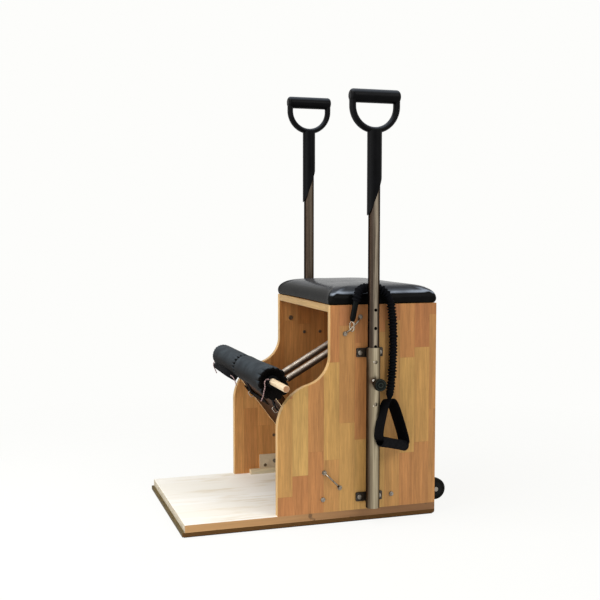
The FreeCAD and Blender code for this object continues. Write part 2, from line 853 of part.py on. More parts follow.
last_angle = 2 * math.pi * spring_turns
low_hook, low_tail = hook_edges(0.0, -1)
high_hook, high_tail = hook_edges(last_angle, 1)
coil_edges = []
for half in range(2 * spring_turns):
    angle = math.pi * half
    following = angle + math.pi
    coil_edges += biarc(
        coil_place(angle), coil_heading(angle), coil_place(following), coil_heading(following)
    )
spring_edges = low_hook + coil_edges + high_hook
spring = pipe(spring_edges, wire_radius, low_tail, point(0, 0, -1))
spring_gap = least_gap(spring_edges, spring_wire_diameter)
print("spring pitch", round(spring_pitch, 3), "least gap", round(spring_gap, 3))
save_pair("spring_coil", on_spring_line(spring))


def oval_link(width, length, wire_diameter, low):
    # A closed link in the XZ plane, its lower bow at height low, both bows half circles.
    radius = width / 2
    low_centre = low + radius
    high_centre = low + length - radius
    slant = radius * math.sqrt(0.5)
    edges = []
    for way, centre in ((-1, low_centre), (1, high_centre)):
        tip = point(0, 0, centre + way * radius)
        for side in (-1, 1):
            foot = point(side * radius, 0, centre)
            edges.append(Part.Arc(foot, point(side * slant, 0, centre + way * slant), tip).toShape())
    for side in (-1, 1):
        low_end = point(side * radius, 0, low_centre)
        high_end = point(side * radius, 0, high_centre)
        edges.append(Part.LineSegment(low_end, high_end).toShape())
    section = Part.Wire(Part.makeCircle(wire_diameter / 2, point(radius, 0, low_centre), point(0, 0, 1)))
    return ordered_wire(edges).makePipeShell([section], True, False)


spring_link = oval_link(link_mean_width, link_mean_length, link_wire_diameter, link_low)
save_pair("spring_link", on_spring_line(spring_link))

# Hand poles: sleeves on brackets outside the panels, poles with cross holes, plungers that hold them
sleeve_radius = sleeve_diameter / 2
sleeve = tube(
    sleeve_radius,
    sleeve_bore_radius,
    point(upright_x, upright_y, sleeve_bottom),
    point(upright_x, upright_y, sleeve_top),
)
pin_bore_radius = plunger_pin_diameter / 2 + running_clearance
sleeve_far = upright_x + sleeve_diameter
sleeve = sleeve.cut(across(pin_bore_radius, upright_x, sleeve_far, upright_y, plunger_height))
for way in (-1, 1):
    side_hole_z = plunger_height + way * sleeve_hole_pitch
    sleeve = sleeve.cut(across(sleeve_hole_diameter / 2, upright_x, sleeve_far, upright_y, side_hole_z))
save_pair("sleeve", sleeve)

brackets = []
bracket_outer = panel_outer + bracket_thickness
for z in bracket_heights:
    flat = box(
        panel_outer,
        bracket_outer,
        upright_y - bracket_width / 2,
        upright_y + bracket_width / 2,
        z - bracket_height / 2,
        z + bracket_height / 2,
    )
    flat = round_edges(flat, bracket_corner_radius, lambda edge: abs(edge.Length - bracket_thickness) < fine)
    saddle = box(
        bracket_outer,
        upright_x,
        upright_y - bracket_saddle_width / 2,
        upright_y + bracket_saddle_width / 2,
        z - bracket_height / 2,
        z + bracket_height / 2,
    )
    sleeve_room = rod(
        sleeve_radius + weld_clearance,
        point(upright_x, upright_y, z - bracket_height),
        point(upright_x, upright_y, z + bracket_height),
    )
    bracket = flat.fuse(saddle).removeSplitter().cut(sleeve_room)
    for y in bracket_bolt_ys:
        bracket = bracket.cut(across(bolt_diameter / 2 + hole_clearance, panel_outer, upright_x, y, z))
    brackets.append(bracket)
save("sleeve_brackets", both_sides(brackets))
bracket_bolts = [dome_screw(bracket_outer, y, z, bracket_screw_tip) for y, z in bracket_bolt_places]
save("bracket_bolts", both_sides(bracket_bolts))
save("panel_bolts", both_sides([dome_bolt(panel_outer, y, z, plate_face) for y, z in plate_bolt_places]))

barrel_start = upright_x + sleeve_radius
barrel_end = barrel_start + plunger_barrel_length
barrel = across(plunger_barrel_diameter / 2, upright_x, barrel_end, upright_y, plunger_height)
nut_start = barrel_start + seat_clearance
nut = hexagon(plunger_nut_diameter, upright_x, nut_start + plunger_nut_length, upright_y, plunger_height)
barrel = barrel.fuse(nut).removeSplitter()
barrel = barrel.cut(
    rod(
        sleeve_radius + weld_clearance,
        point(upright_x, upright_y, plunger_height - knob_diameter),
        point(upright_x, upright_y, plunger_height + knob_diameter),
    )
)
barrel = barrel.cut(across(pin_bore_radius, upright_x, barrel_end + cut_overrun, upright_y, plunger_height))
save("plunger_barrels", both_sides([barrel]))

knob_start = barrel_end + seat_clearance
knob_end = knob_start + knob_neck_length + knob_thickness
knob = across(knob_diameter / 2, knob_start + knob_neck_length, knob_end, upright_y, plunger_height)
knob = round_edges(knob, knob_edge_radius, lambda edge: len(edge.Vertexes) == 1)
neck = across(knob_neck_diameter / 2, knob_start, knob_start + knob_neck_length, upright_y, plunger_height)
pin_end = knob_start + knob_neck_length + knob_thickness / 2
pin_seat = across(plunger_pin_diameter / 2, knob_start - cut_overrun, pin_end, upright_y, plunger_height)
save_pair("plunger_knob", knob.fuse(neck).removeSplitter().cut(pin_seat))
pin_start = upright_x + pole_diameter / 2 + seat_clearance
save_pair("plunger_pin", across(plunger_pin_diameter / 2, pin_start, pin_end, upright_y, plunger_height))

pole = tube(
    pole_diameter / 2,
    pole_diameter / 2 - pole_wall,
    point(upright_x, upright_y, pole_bottom),
    point(upright_x, upright_y, pole_top),
)
for index in range(pole_hole_count):
    hole_z = plunger_height + pole_hole_pitch * (index - pole_holes_below_plunger)
    reach = pole_diameter
    side_hole = across(pole_hole_diameter / 2, upright_x - reach, upright_x + reach, upright_y, hole_z)
    front_hole = rod(
        pole_hole_diameter / 2,
        point(upright_x, upright_y - reach, hole_z),
        point(upright_x, upright_y + reach, hole_z),
    )
    pole = pole.cut(side_hole).cut(front_hole)

# Hand grip: a bar on a bow with a socket over the pole, its mouth cut on a slant that is long at the front
socket_radius = socket_diameter / 2
bar_z = grip_top - grip_bar_drop
arm_y = grip_width / 2 - grip_arm_thickness / 2
bow_z = bar_z - grip_bar_diameter / 2 - grip_arm_straight
socket_low = pole_top - socket_front_low
socket_high = pole_top - socket_rear_low
bar = rod(grip_bar_diameter / 2, point(0, -grip_width / 2, bar_z), point(0, grip_width / 2, bar_z))
bar = round_edges(
    bar,
    grip_end_radius,
    lambda edge: len(edge.Vertexes) == 1 and edge.Length > grip_bar_diameter,
)
arm_start = point(0, -arm_y, bar_z)
bow_start = point(0, -arm_y, bow_z)
bow_end = point(0, arm_y, bow_z)
bow_bottom = point(0, 0, bow_z - arm_y)
arm_end = point(0, arm_y, bar_z)
bow_edges = [
    Part.LineSegment(arm_start, bow_start).toShape(),
    arc_edge(bow_start, point(0, 0, -1), bow_bottom),
    arc_edge(bow_end, point(0, 0, -1), bow_bottom),
    Part.LineSegment(bow_end, arm_end).toShape(),
]
arm_section = Part.Ellipse(point(0, 0, 0), grip_arm_depth / 2, grip_arm_thickness / 2).toShape()
arm_section = Part.Wire(arm_section)
arm_section.translate(arm_start)
bow = ordered_wire(bow_edges).makePipeShell([arm_section], True, False)
socket = rod(socket_radius, point(0, 0, socket_low), bow_bottom)
hand_grip = bow.fuse([bar, socket]).removeSplitter()
room_top = pole_top + socket_blind_gap
pole_room = rod(pole_diameter / 2 + running_clearance, point(0, 0, socket_low), point(0, 0, room_top))
slant_rise = socket_high - socket_low
slant_run = slant_rise * cut_overrun / socket_diameter
mouth = Part.makePolygon(
    [
        point(-socket_diameter, -socket_radius - cut_overrun, socket_low - slant_run),
        point(-socket_diameter, socket_radius + cut_overrun, socket_high + slant_run),
        point(-socket_diameter, socket_radius + cut_overrun, socket_low - slant_rise),
        point(-socket_diameter, -socket_radius - cut_overrun, socket_low - slant_run),
    ]
)
mouth = Part.Face(mouth).extrude(point(2 * socket_diameter, 0, 0))
hand_grip = hand_grip.cut(pole_room).cut(mouth)
hand_grip.translate(point(upright_x, upright_y, 0))

left_lift = point(0, 0, left_pole_holes_up * pole_hole_pitch)
for name, shape in (("pole", pole), ("hand_grip", hand_grip)):
    save("right_" + name, shape)
    left_shape = mirrored(shape)
    left_shape.translate(left_lift)
    save("left_" + name, left_shape)


# Rope eyes: a raised bar between two screwed tabs outside the panels, one high and one low on each side
def rope_eye(eye):
    low, high = eye_ends(eye)
    outward = point(1, 0, 0)
    along = (high - low) / (high - low).Length
    middle = (low + high) / 2 + outward * eye_bar_rise
    bar_low = middle - along * (eye_bar_length / 2)
    bar_high = middle + along * (eye_bar_length / 2)
    radius = eye_bar_diameter / 2
    pieces = [rod(radius, bar_low, bar_high)]
    for tab, bar_end in ((low, bar_low), (high, bar_high)):
        foot = tab + outward * (eye_tab_thickness / 2) + (bar_end - tab - outward * eye_bar_rise) * foot_share
        pieces.append(rod(radius, foot, bar_end))
        pieces.append(Part.makeSphere(radius, bar_end))
        pieces.append(rod(eye_tab_diameter / 2, tab, tab + outward * eye_tab_thickness))
    eye_solid = pieces[0].fuse(pieces[1:]).removeSplitter()
    wall = box(panel_inner, panel_outer, low.y - eye_length, high.y + eye_length, 0, box_height)
    eye_solid = eye_solid.cut(wall)
    screws = []
    for tab in (low, high):
        face = tab.x + eye_tab_thickness
        reach = face + eye_bar_rise
        shank_radius = eye_screw_diameter / 2 + hole_clearance
        head_radius = eye_screw_head_diameter / 2 + hole_clearance
        eye_solid = eye_solid.cut(across(shank_radius, tab.x, reach, tab.y, tab.z))
        eye_solid = eye_solid.cut(across(head_radius, face, reach, tab.y, tab.z))
        head = across(eye_screw_head_diameter / 2, face, face + eye_screw_head_height, tab.y, tab.z)
        shank = across(eye_screw_diameter / 2, tab.x - eye_screw_depth, face, tab.y, tab.z)
        screws.append(head.fuse(shank).removeSplitter())
    return [eye_solid] + screws


foot_share = 0.35
save("rope_eyes", both_sides(rope_eye(upper_eye) + rope_eye(lower_eye)))

# Wheels behind the back panel, each on a stub axle from the inner ear of its bracket, with a cap outside
wheel_half = wheel_width / 2
wheel_low = wheel_place - wheel_half
wheel_high = wheel_place + wheel_half
axle_radius = wheel_axle_diameter / 2
wheel_bore = across(axle_radius + running_clearance, 0, 2 * wheel_place, wheel_y, wheel_height)
hub = across(wheel_hub_diameter / 2, wheel_low, wheel_high, wheel_y, wheel_height)
save_pair("wheel_hub", hub.cut(wheel_bore))
tyre = across(wheel_diameter / 2, wheel_low, wheel_high, wheel_y, wheel_height)
tyre = round_edges(
    tyre,
    wheel_edge_radius,
    lambda edge: len(edge.Vertexes) == 1 and edge.Length > wheel_diameter,
)
tyre_seat = across(wheel_hub_diameter / 2 + tyre_clearance, 0, 2 * wheel_place, wheel_y, wheel_height)
save_pair("wheel_tyre", tyre.cut(tyre_seat))

ear_high = wheel_low - wheel_ear_gap
ear_low = ear_high - wheel_plate_thickness
wheel_bracket = box(
    wheel_place - wheel_plate_width / 2,
    wheel_place + wheel_plate_width / 2,
    base_rear,
    base_rear + wheel_plate_thickness,
    wheel_height - wheel_plate_height / 2,
    wheel_height + wheel_plate_height / 2,
)
wheel_ear = box(
    ear_low,
    ear_high,
    base_rear,
    wheel_y + wheel_ear_tail,
    wheel_height - wheel_ear_height / 2,
    wheel_height + wheel_ear_height / 2,
)
wheel_bracket = wheel_bracket.fuse(wheel_ear).removeSplitter().cut(wheel_bore)
cap_low = wheel_high + wheel_cap_gap
cap_high = cap_low + wheel_axle_head_height
nut_low = ear_low - wheel_axle_head_height
axle_head_radius = wheel_axle_head_diameter / 2
wheel_axle = across(axle_radius, nut_low, cap_low, wheel_y, wheel_height)
axle_nut = across(axle_head_radius, nut_low, ear_low, wheel_y, wheel_height)
axle_cap = across(axle_head_radius, cap_low, cap_high, wheel_y, wheel_height)
axle_cap = round_edges(
    axle_cap,
    wheel_axle_head_height / 2,
    lambda edge: len(edge.Vertexes) == 1 and abs(edge.CenterOfMass.x - cap_high) < fine,
)
wheel_axle = wheel_axle.fuse([axle_nut, axle_cap]).removeSplitter()
save("wheel_brackets", both_sides([wheel_bracket, wheel_axle]))

# Resistance cord: hook in the upper rope eye, end sleeve, cord over the seat edge behind the pole, hand grip
cord_radius = cord_diameter / 2
cord_points = [point(*place) for place in cord_route]
cord = route_pipe("resistance_cord", cord_route, cord_radius)
save("resistance_cord", cord)

ferrule_high = cord_points[0]
ferrule_line = (cord_points[1] - ferrule_high) / (cord_points[1] - ferrule_high).Length
ferrule_low = ferrule_high - ferrule_line * ferrule_length
shoulder = ferrule_low + ferrule_line * ferrule_tip_length
ferrule_tip = Part.makeCone(
    ferrule_tip_diameter / 2, ferrule_diameter / 2, ferrule_tip_length, ferrule_low, ferrule_line
)
ferrule = rod(ferrule_diameter / 2, shoulder, ferrule_high).fuse(ferrule_tip).removeSplitter()
save("cord_ferrule", ferrule)

# The hook is a closed wire loop that hangs in the rope eye, from the bar up to the end sleeve
low_tab, high_tab = eye_ends(upper_eye)
eye_along = (high_tab - low_tab) / (high_tab - low_tab).Length
eye_middle = point(panel_outer + eye_bar_rise, upper_eye[0], upper_eye[1])
snap_seat = eye_middle - eye_along * (snap_bar_share * eye_bar_length / 2)
snap_radius = snap_wire_diameter / 2
snap_top = ferrule_low - ferrule_line * (snap_radius + seat_clearance)
snap_line = (snap_top - snap_seat) / (snap_top - snap_seat).Length
snap_length = (snap_top - snap_seat).Length + eye_bar_diameter / 2 + snap_slack + snap_radius
snap = oval_link(snap_width, snap_length, snap_wire_diameter, -snap_length)
snap.rotate(point(0, 0, 0), point(0, 0, 1), snap_turn)
snap.Placement = FreeCAD.Placement(snap_top, FreeCAD.Rotation(point(0, 0, 1), snap_line)) * snap.Placement
save("cord_hook", snap)

cord_end = cord_points[-1]
cord_heading = (cord_end - cord_points[-2]) / (cord_end - cord_points[-2]).Length
tail = Part.makeCone(cord_radius, tail_end_diameter / 2, tail_length, cord_end, cord_heading)
save("cord_tail", tail)

grip_low = point(*hand_grip_right)
grip_high = point(*hand_grip_left)
grip_line = (grip_high - grip_low) / (grip_high - grip_low).Length
grip_length = (grip_high - grip_low).Length
grip_solid = rod(hand_grip_diameter / 2, grip_low, grip_high)
grip_solid = round_edges(grip_solid, hand_grip_edge_radius, lambda edge: len(edge.Vertexes) == 1)
grip_bore = rod(hand_grip_bore / 2, grip_low - grip_line * cut_overrun, grip_high + grip_line * cut_overrun)
save("cord_hand_grip", grip_solid.cut(grip_bore))

# The strap is a flat loop that runs through the grip and up both sides to the tail of the cord
strap_peak = cord_end + cord_heading * (tail_length + seat_clearance - hand_strap_peak_rise)
grip_middle = (grip_low + grip_high) / 2
peak_rise = strap_peak - grip_middle
strap_up = peak_rise - grip_line * peak_rise.dot(grip_line)
strap_out = grip_line.cross(strap_up)
strap_out = strap_out / strap_out.Length


def strap_loop(shrink):
    # Triangle of the strap's outer face, moved in by shrink, with rounded corners.
    half = grip_length / 2 + hand_strap_overrun
    up = strap_up / strap_up.Length
    lean = peak_rise.dot(grip_line)
    peak = strap_up.Length
    base = -hand_strap_thickness / 2
    corners = [(-half, base), (half, base), (lean, peak)]
    flat = [point(a, b, 0) for a, b in corners]
    wire = Part.makePolygon(flat + flat[:1])
    if shrink:
        wire = wire.makeOffset2D(-shrink, 2)
    face = Part.Face(wire)
    prism = face.extrude(point(0, 0, hand_strap_width))
    upright = [edge for edge in prism.Edges if abs(edge.Length - hand_strap_width) < fine]
    prism = prism.makeFillet(hand_strap_corner_radius - shrink, upright)
    turn = FreeCAD.Rotation(grip_line, up, strap_out, "ZXY")
    prism.Placement = FreeCAD.Placement(grip_middle - strap_out * (hand_strap_width / 2), turn)
    return prism


save("cord_hand_strap", strap_loop(0).cut(strap_loop(hand_strap_thickness)))

# Drawstrings of the roller covers
for name, route in (
    ("right_drawstring", right_drawstring_route),
    ("left_drawstring", left_drawstring_route),
    ("left_end_drawstring", left_end_drawstring_route),
):
    save(name, route_pipe(name, route, drawstring_diameter / 2))

print("nodes", len(saved))
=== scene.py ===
import bmesh
import bpy
import math
import random
from mathutils import Matrix, Vector


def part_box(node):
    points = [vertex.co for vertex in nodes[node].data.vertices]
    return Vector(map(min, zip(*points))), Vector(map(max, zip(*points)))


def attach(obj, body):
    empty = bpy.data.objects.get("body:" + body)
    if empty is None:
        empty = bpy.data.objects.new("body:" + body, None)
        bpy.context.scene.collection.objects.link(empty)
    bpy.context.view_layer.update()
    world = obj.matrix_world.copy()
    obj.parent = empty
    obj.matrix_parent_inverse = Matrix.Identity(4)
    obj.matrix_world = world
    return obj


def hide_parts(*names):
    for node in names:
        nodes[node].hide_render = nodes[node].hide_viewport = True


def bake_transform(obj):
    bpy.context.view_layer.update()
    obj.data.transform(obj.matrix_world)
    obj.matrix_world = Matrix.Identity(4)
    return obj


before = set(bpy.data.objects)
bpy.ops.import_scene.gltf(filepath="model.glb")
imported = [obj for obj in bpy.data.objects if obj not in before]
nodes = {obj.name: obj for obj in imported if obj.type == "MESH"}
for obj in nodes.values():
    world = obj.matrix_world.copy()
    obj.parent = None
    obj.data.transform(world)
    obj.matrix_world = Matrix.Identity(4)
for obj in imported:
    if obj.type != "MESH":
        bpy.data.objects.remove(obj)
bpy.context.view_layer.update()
mm = 0.001
handed = (("right", 1), ("left", -1))
print("frame loaded with", len(nodes), "nodes")


def both(name):
    return "right_" + name, "left_" + name


# camera at the photograph's viewing angle
cameraView = {"place": (2.7112, -0.8321, 0.8137), "look": (-0.9493, 0.3058, -0.0736), "lens": 57.83,
              "sensor": 36}


def addCamera(view):
    bpy.ops.object.camera_add(location=view["place"])
    camera = bpy.context.object
    camera.rotation_euler = Vector(view["look"]).to_track_quat("-Z", "Y").to_euler()
    camera.data.lens = view["lens"]
    camera.data.sensor_width = view["sensor"]
    bpy.context.scene.camera = camera


addCamera(cameraView)
print("camera placed")


# node helpers
def linear(code):
    parts = [int(code[i:i + 2], 16) / 255 for i in (1, 3, 5)]
    return [c / 12.92 if c <= 0.04045 else ((c + 0.055) / 1.055) ** 2.4 for c in parts] + [1.0]


def plug(tree, node, inputs):
    for socket, value in inputs.items():
        if isinstance(value, bpy.types.NodeSocket):
            tree.links.new(value, node.inputs[socket])
        else:
            node.inputs[socket].default_value = linear(value) if isinstance(value, str) else value


def addNode(tree, kind, inputs=None, stops=None, **settings):
    node = tree.nodes.new("ShaderNode" + kind)
    for key, value in settings.items():
        setattr(node, key, value)
    plug(tree, node, inputs or {})
    for index, (place, code) in enumerate(stops or []):  # colour ramp stops
        elements = node.color_ramp.elements
        stop = elements[index] if index < len(elements) else elements.new(place)
        stop.position = place
        stop.color = linear(code)
    return node


# thin helpers over addNode, each gives back the socket in use
def calc(tree, operation, *values):
    return addNode(tree, "Math", dict(enumerate(values)), operation=operation).outputs[0]


def times(tree, first, *others):
    for other in others:
        first = calc(tree, "MULTIPLY", first, other)
    return first


def vectorCalc(tree, operation, *values):
    node = addNode(tree, "VectorMath", dict(enumerate(values)), operation=operation)
    return node.outputs["Value" if operation in ("LENGTH", "DISTANCE") else "Vector"]


def spread(tree, value, *ends):
    # low and high become 0 and 1, or the third and fourth number
    return addNode(tree, "MapRange", {0: value, **dict(enumerate(ends, 1))}).outputs[0]


def dulled(tree, value, rough, low, high):
    # roughness that follows a noise through its middle range
    return spread(tree, value, 0.3, 0.7, rough + low, rough + high)


def mix(tree, share, first, second, kind="MIX"):
    return addNode(tree, "Mix", {0: share, 6: first, 7: second}, data_type="RGBA", blend_type=kind).outputs[2]


def ramp(tree, value, *stops):
    return addNode(tree, "ValToRGB", {0: value}, stops=stops).outputs[0]


def noise(tree, place, scale, detail, **inputs):
    settings = {"Vector": place, "Scale": scale, "Detail": detail, **inputs}
    return addNode(tree, "TexNoise", settings).outputs["Fac"]


def cellNoise(tree, socket, place, dimensions):
    return addNode(tree, "TexWhiteNoise", {socket: place}, noise_dimensions=dimensions).outputs["Value"]


def split(tree, vector):
    return addNode(tree, "SeparateXYZ", {0: vector}).outputs


def join(tree, *parts):
    return addNode(tree, "CombineXYZ", dict(enumerate(parts))).outputs[0]


def stretch(tree, place, scale):
    return addNode(tree, "Mapping", {"Vector": place, "Scale": scale}).outputs[0]


def faced(tree, spot, axis, *ends):
    # by how far the surface faces either way along an axis
    return spread(tree, calc(tree, "ABSOLUTE", split(tree, spot["Normal"])[axis]), *ends)


def fromAxis(tree, spot, centre):
    # distance from a line along X
    off = vectorCalc(tree, "SUBTRACT", spot["Object"], centre)
    return vectorCalc(tree, "LENGTH", vectorCalc(tree, "MULTIPLY", off, (0, 1, 1)))


def startMaterial(name, **inputs):
    material = bpy.data.materials.new(name)
    material.use_nodes = True
    tree = material.node_tree
    plug(tree, tree.nodes["Principled BSDF"], {key.replace("_", " "): value for key, value in inputs.items()})
    return material, tree, addNode(tree, "TexCoord").outputs


def surface(material, colour, height, bump, rough=None):
    tree = material.node_tree
    strength, distance = bump
    normal = addNode(tree, "Bump", {"Height": height, "Strength": strength, "Distance": distance}).outputs[0]
    shown = {"Base Color": colour, "Normal": normal}
    if rough is not None:
        shown["Roughness"] = rough
    plug(tree, tree.nodes["Principled BSDF"], shown)
    return material


def dress(material, *names):
    for name in names:
        piece = nodes[name]
        if not piece.material_slots:
            piece.data.materials.append(material)
        for slot in piece.material_slots:
            slot.material = material


# finger-jointed rubberwood: lacquered staves of uneven tone, fine long grain, pale sawn edges
staveLook = {
    "width": 0.045, "length": 0.27, "seam": 0.0006, "seamLight": 0.82, "stagger": 9.0,
    "grainWidth": 0.0035, "grainStretch": 0.055, "bandWidth": 0.016, "poreWidth": 0.0012,
    "tones": ((0.0, "#A86E45"), (0.16, "#B27747"), (0.32, "#B57D4A"), (0.46, "#B4814C"), (0.6, "#B98B50"),
              (0.74, "#BC9153"), (0.88, "#BF9656"), (1.0, "#C29A5B")),
    # warmer, brighter tones for the panel inside the box: partly wood tone, partly painted light
    "warmTones": ((0.0, "#BA7A42"), (0.35, "#C7894E"), (0.7, "#CF965A"), (1.0, "#BC7B46")), "ownShare": 0.55,
    "paleHeight": 0.22, "pale": (0.1, 0.23, 0.45, 0.0),  # the palest staves lie round this height
    "grainLight": (0.25, 0.75, 0.8, 1.16), "bandLight": (0.3, 0.7, 0.84, 1.12),
    "poreLight": (0.62, 0.72, 1.0, 0.86),
    "edge": "#C49D63", "face": (0.55, 0.85), "rough": (0.3, 0.7, 0.5, 0.38), "bump": (0.12, 0.0004),
}


def staveWood(name, look, across, along, through, seed, tones="tones", edge=None):
    material, tree, spot = startMaterial(name, IOR=1.5, Specular_IOR_Level=0.25)
    place = split(tree, spot["Object"])
    length = look["length"]
    rows = calc(tree, "MULTIPLY_ADD", place[across], 1 / look["width"], seed)
    row = calc(tree, "FLOOR", rows)
    shift = times(tree, cellNoise(tree, "W", row, "1D"), look["stagger"])
    runs = calc(tree, "MULTIPLY_ADD", place[along], 1 / length, shift)
    run = calc(tree, "FLOOR", runs)
    own = cellNoise(tree, "Vector", join(tree, row, run), "2D")
    start = calc(tree, "SUBTRACT", run, shift)
    centre = calc(tree, "MULTIPLY_ADD", start, length, length / 2 - look["paleHeight"])
    pale = spread(tree, calc(tree, "ABSOLUTE", centre), *look["pale"])
    tone = ramp(tree, calc(tree, "MULTIPLY_ADD", own, look["ownShare"], pale), *look[tones])
    # grain follows the stave's length, and each stave has its own
    depth = calc(tree, "ADD", place[through], own)
    grainPlace = join(tree, place[across], times(tree, place[along], look["grainStretch"]), depth)
    grain = noise(tree, grainPlace, 1 / look["grainWidth"], 4.0, Roughness=0.6)
    bands = noise(tree, grainPlace, 1 / look["bandWidth"], 2.0, Distortion=0.7)
    pores = noise(tree, grainPlace, 1 / look["poreWidth"], 1.0)
    light = times(tree, spread(tree, grain, *look["grainLight"]), spread(tree, bands, *look["bandLight"]),
                  spread(tree, pores, *look["poreLight"]))
    # glue lines between staves and at their butted ends
    for counter, size in ((rows, look["width"]), (runs, length)):
        gap = calc(tree, "PINGPONG", counter, 0.5)
        light = times(tree, light, spread(tree, gap, 0.0, look["seam"] / size, look["seamLight"], 1.0))
    wood = mix(tree, faced(tree, spot, through, *look["face"]), edge or look["edge"], tone)
    colour = mix(tree, 1.0, wood, light, "MULTIPLY")
    return surface(material, colour, grain, look["bump"], spread(tree, grain, *look["rough"]))


dress(staveWood("rubberwood_right", staveLook, 1, 2, 0, 0.35), "right_side_panel")
# the left panel, facing into the box, takes warmer, brighter tones: partly painted light for the inside of
# the box
dress(staveWood("rubberwood_left", staveLook, 1, 2, 0, 40.6, tones="warmTones"), "left_side_panel")
dress(staveWood("rubberwood_back", staveLook, 0, 2, 1, 80.2), "back_panel")
dress(staveWood("rubberwood_top", staveLook, 1, 0, 2, 120.7, edge="#A5834E"), "top_board")
print("stave wood dressed")


# pine plank, lime washed: nearly white top with faint beige planks, raw brown sides,
# greyed end grain at the front
limeLook = {
    "plank": 0.062, "streakWidth": 0.012, "streakStretch": 0.045, "smudge": 0.045, "speck": 0.03,
    "tops": ((0.0, "#EDE8DD"), (0.35, "#F1EDE5"), (0.7, "#F4F1EA"), (1.0, "#EBE4D6")),
    "streak": "#CDBB95", "side": "#B88D5B", "rear": "#7E5835", "end": "#B4A993", "block": "#9A8B70",
    "dark": "#5B4128",
    "streaked": (0.56, 0.74, 0.0, 0.45), "lay": (1.0, 0.3, 1.0), "thin": (0.54, 0.7, 0.0, 0.6),
    "nearBox": (-0.33, -0.1, 0.25, 1.0), "wearAndPaintedLight": (0.5, 0.68, 0.0, 0.5), "front": (-0.6, -0.85),
    "knots": (0.64, 0.7, 0.0, 0.8), "sideLight": (0.3, 0.7, 0.84, 1.12), "rearward": (-0.3, 0.25),
    "flank": (0.6, 0.85), "bump": (0.1, 0.0005),
}


def limeWashedPine(name, look):
    material, tree, spot = startMaterial(name, Roughness=0.6, IOR=1.45)
    place = split(tree, spot["Object"])
    own = cellNoise(tree, "W", calc(tree, "FLOOR", times(tree, place[0], 1 / look["plank"])), "1D")
    depth = calc(tree, "ADD", place[2], own)
    grainPlace = join(tree, place[0], times(tree, place[1], look["streakStretch"]), depth)
    grain = noise(tree, grainPlace, 1 / look["streakWidth"], 5.0, Roughness=0.55)
    top = ramp(tree, own, *look["tops"])
    grained = mix(tree, spread(tree, grain, *look["streaked"]), top, look["streak"])
    # the wash is rubbed thin in soft patches, more so towards the box
    smudge = noise(tree, stretch(tree, spot["Object"], look["lay"]), 1 / look["smudge"], 3.0)
    rubbed = times(tree, spread(tree, smudge, *look["thin"]), spread(tree, place[1], *look["nearBox"]))
    washed = mix(tree, rubbed, grained, look["streak"])
    # end grain at the front, with darker blocks
    blocks = noise(tree, spot["Object"], 1 / look["speck"], 3.0)
    end = mix(tree, spread(tree, blocks, *look["wearAndPaintedLight"]), look["end"], look["block"])
    body = mix(tree, spread(tree, split(tree, spot["Normal"])[1], *look["front"]), washed, end)
    # raw sides with a few dark knots
    stain = mix(tree, spread(tree, place[1], *look["rearward"]), look["side"], look["rear"])
    side = mix(tree, 1.0, stain, spread(tree, grain, *look["sideLight"]), "MULTIPLY")
    raw = mix(tree, spread(tree, blocks, *look["knots"]), side, look["dark"])
    colour = mix(tree, faced(tree, spot, 0, *look["flank"]), body, raw)
    return surface(material, colour, grain, look["bump"])


dress(limeWashedPine("lime_washed_pine", limeLook), "base_board")


# plain timber: one board with straight grain along its length and darker pores
timberLook = {"grainWidth": 0.004, "stretch": 0.06, "broad": 0.22, "light": (0.28, 0.72, 0.8, 1.16),
              "darker": (0.35, 0.7), "cut": (0.75, 0.95), "bump": (0.12, 0.0004)}


def plainTimber(name, look, along, colour, dark, rough, end=None):
    material, tree, spot = startMaterial(name, Roughness=rough, IOR=1.5)
    place = stretch(tree, spot["Object"], [look["stretch"] if axis == along else 1.0 for axis in range(3)])
    grain = noise(tree, place, 1 / look["grainWidth"], 4.0)
    broad = noise(tree, place, look["broad"] / look["grainWidth"], 2.0, Distortion=0.5)
    tone = mix(tree, spread(tree, broad, *look["darker"]), colour, dark)
    if end:  # cross-cut ends
        tone = mix(tree, faced(tree, spot, along, *look["cut"]), tone, end)
    shade = mix(tree, 1.0, tone, spread(tree, grain, *look["light"]), "MULTIPLY")
    return surface(material, shade, grain, look["bump"])


dress(plainTimber("pine_cleat", timberLook, 1, "#DCCDAC", "#C2A678", 0.55), "base_cleats")
dress(plainTimber("birch_dowel", timberLook, 0, "#DAC5A6", "#CDB18C", 0.5, end="#A87A54"), "pedal_dowel")


# birch ply seen on edge: thin layers, alternately dark, stained along the sides
plyLook = {"layer": 0.0022, "pale": "#75643F", "dark": "#352B18", "side": "#573817", "wobble": 22.0,
           "wobbleShare": 0.6, "streaks": 160.0, "stain": (0.6, 0.85, 0.0, 0.8), "bump": (0.3, 0.0003)}


def layeredPly(name, look):
    material, tree, spot = startMaterial(name, Roughness=0.65, IOR=1.45, Specular_IOR_Level=0.12)
    wobble = noise(tree, spot["Object"], look["wobble"], 3.0)
    layers = split(tree, stretch(tree, spot["Object"], (1.0, 1.0, 1 / look["layer"])))
    layer = calc(tree, "PINGPONG", calc(tree, "MULTIPLY_ADD", wobble, look["wobbleShare"], layers[2]), 1.0)
    mixed = times(tree, layer, noise(tree, spot["Object"], look["streaks"], 3.0))
    tone = ramp(tree, mixed, (0.12, look["dark"]), (0.5, look["pale"]))
    colour = mix(tree, faced(tree, spot, 0, *look["stain"]), tone, look["side"])
    return surface(material, colour, mixed, look["bump"])


dress(layeredPly("birch_ply", plyLook), "base_underlay", "cushion_board")


# walnut-stained ply of the pedal boards: dark brown, with a raw pale line along the outer edge of the faces
pedalLook = {"face": "#452A15", "dark": "#2A180A", "raw": "#F0CFA0", "edge": 0.205, "line": 0.009,
             "soft": 0.0006, "lay": (1.0, 0.08, 0.08), "grain": 260.0, "flat": (0.4, 0.6, 1.0, 0.0),
             "bump": (0.15, 0.0003)}


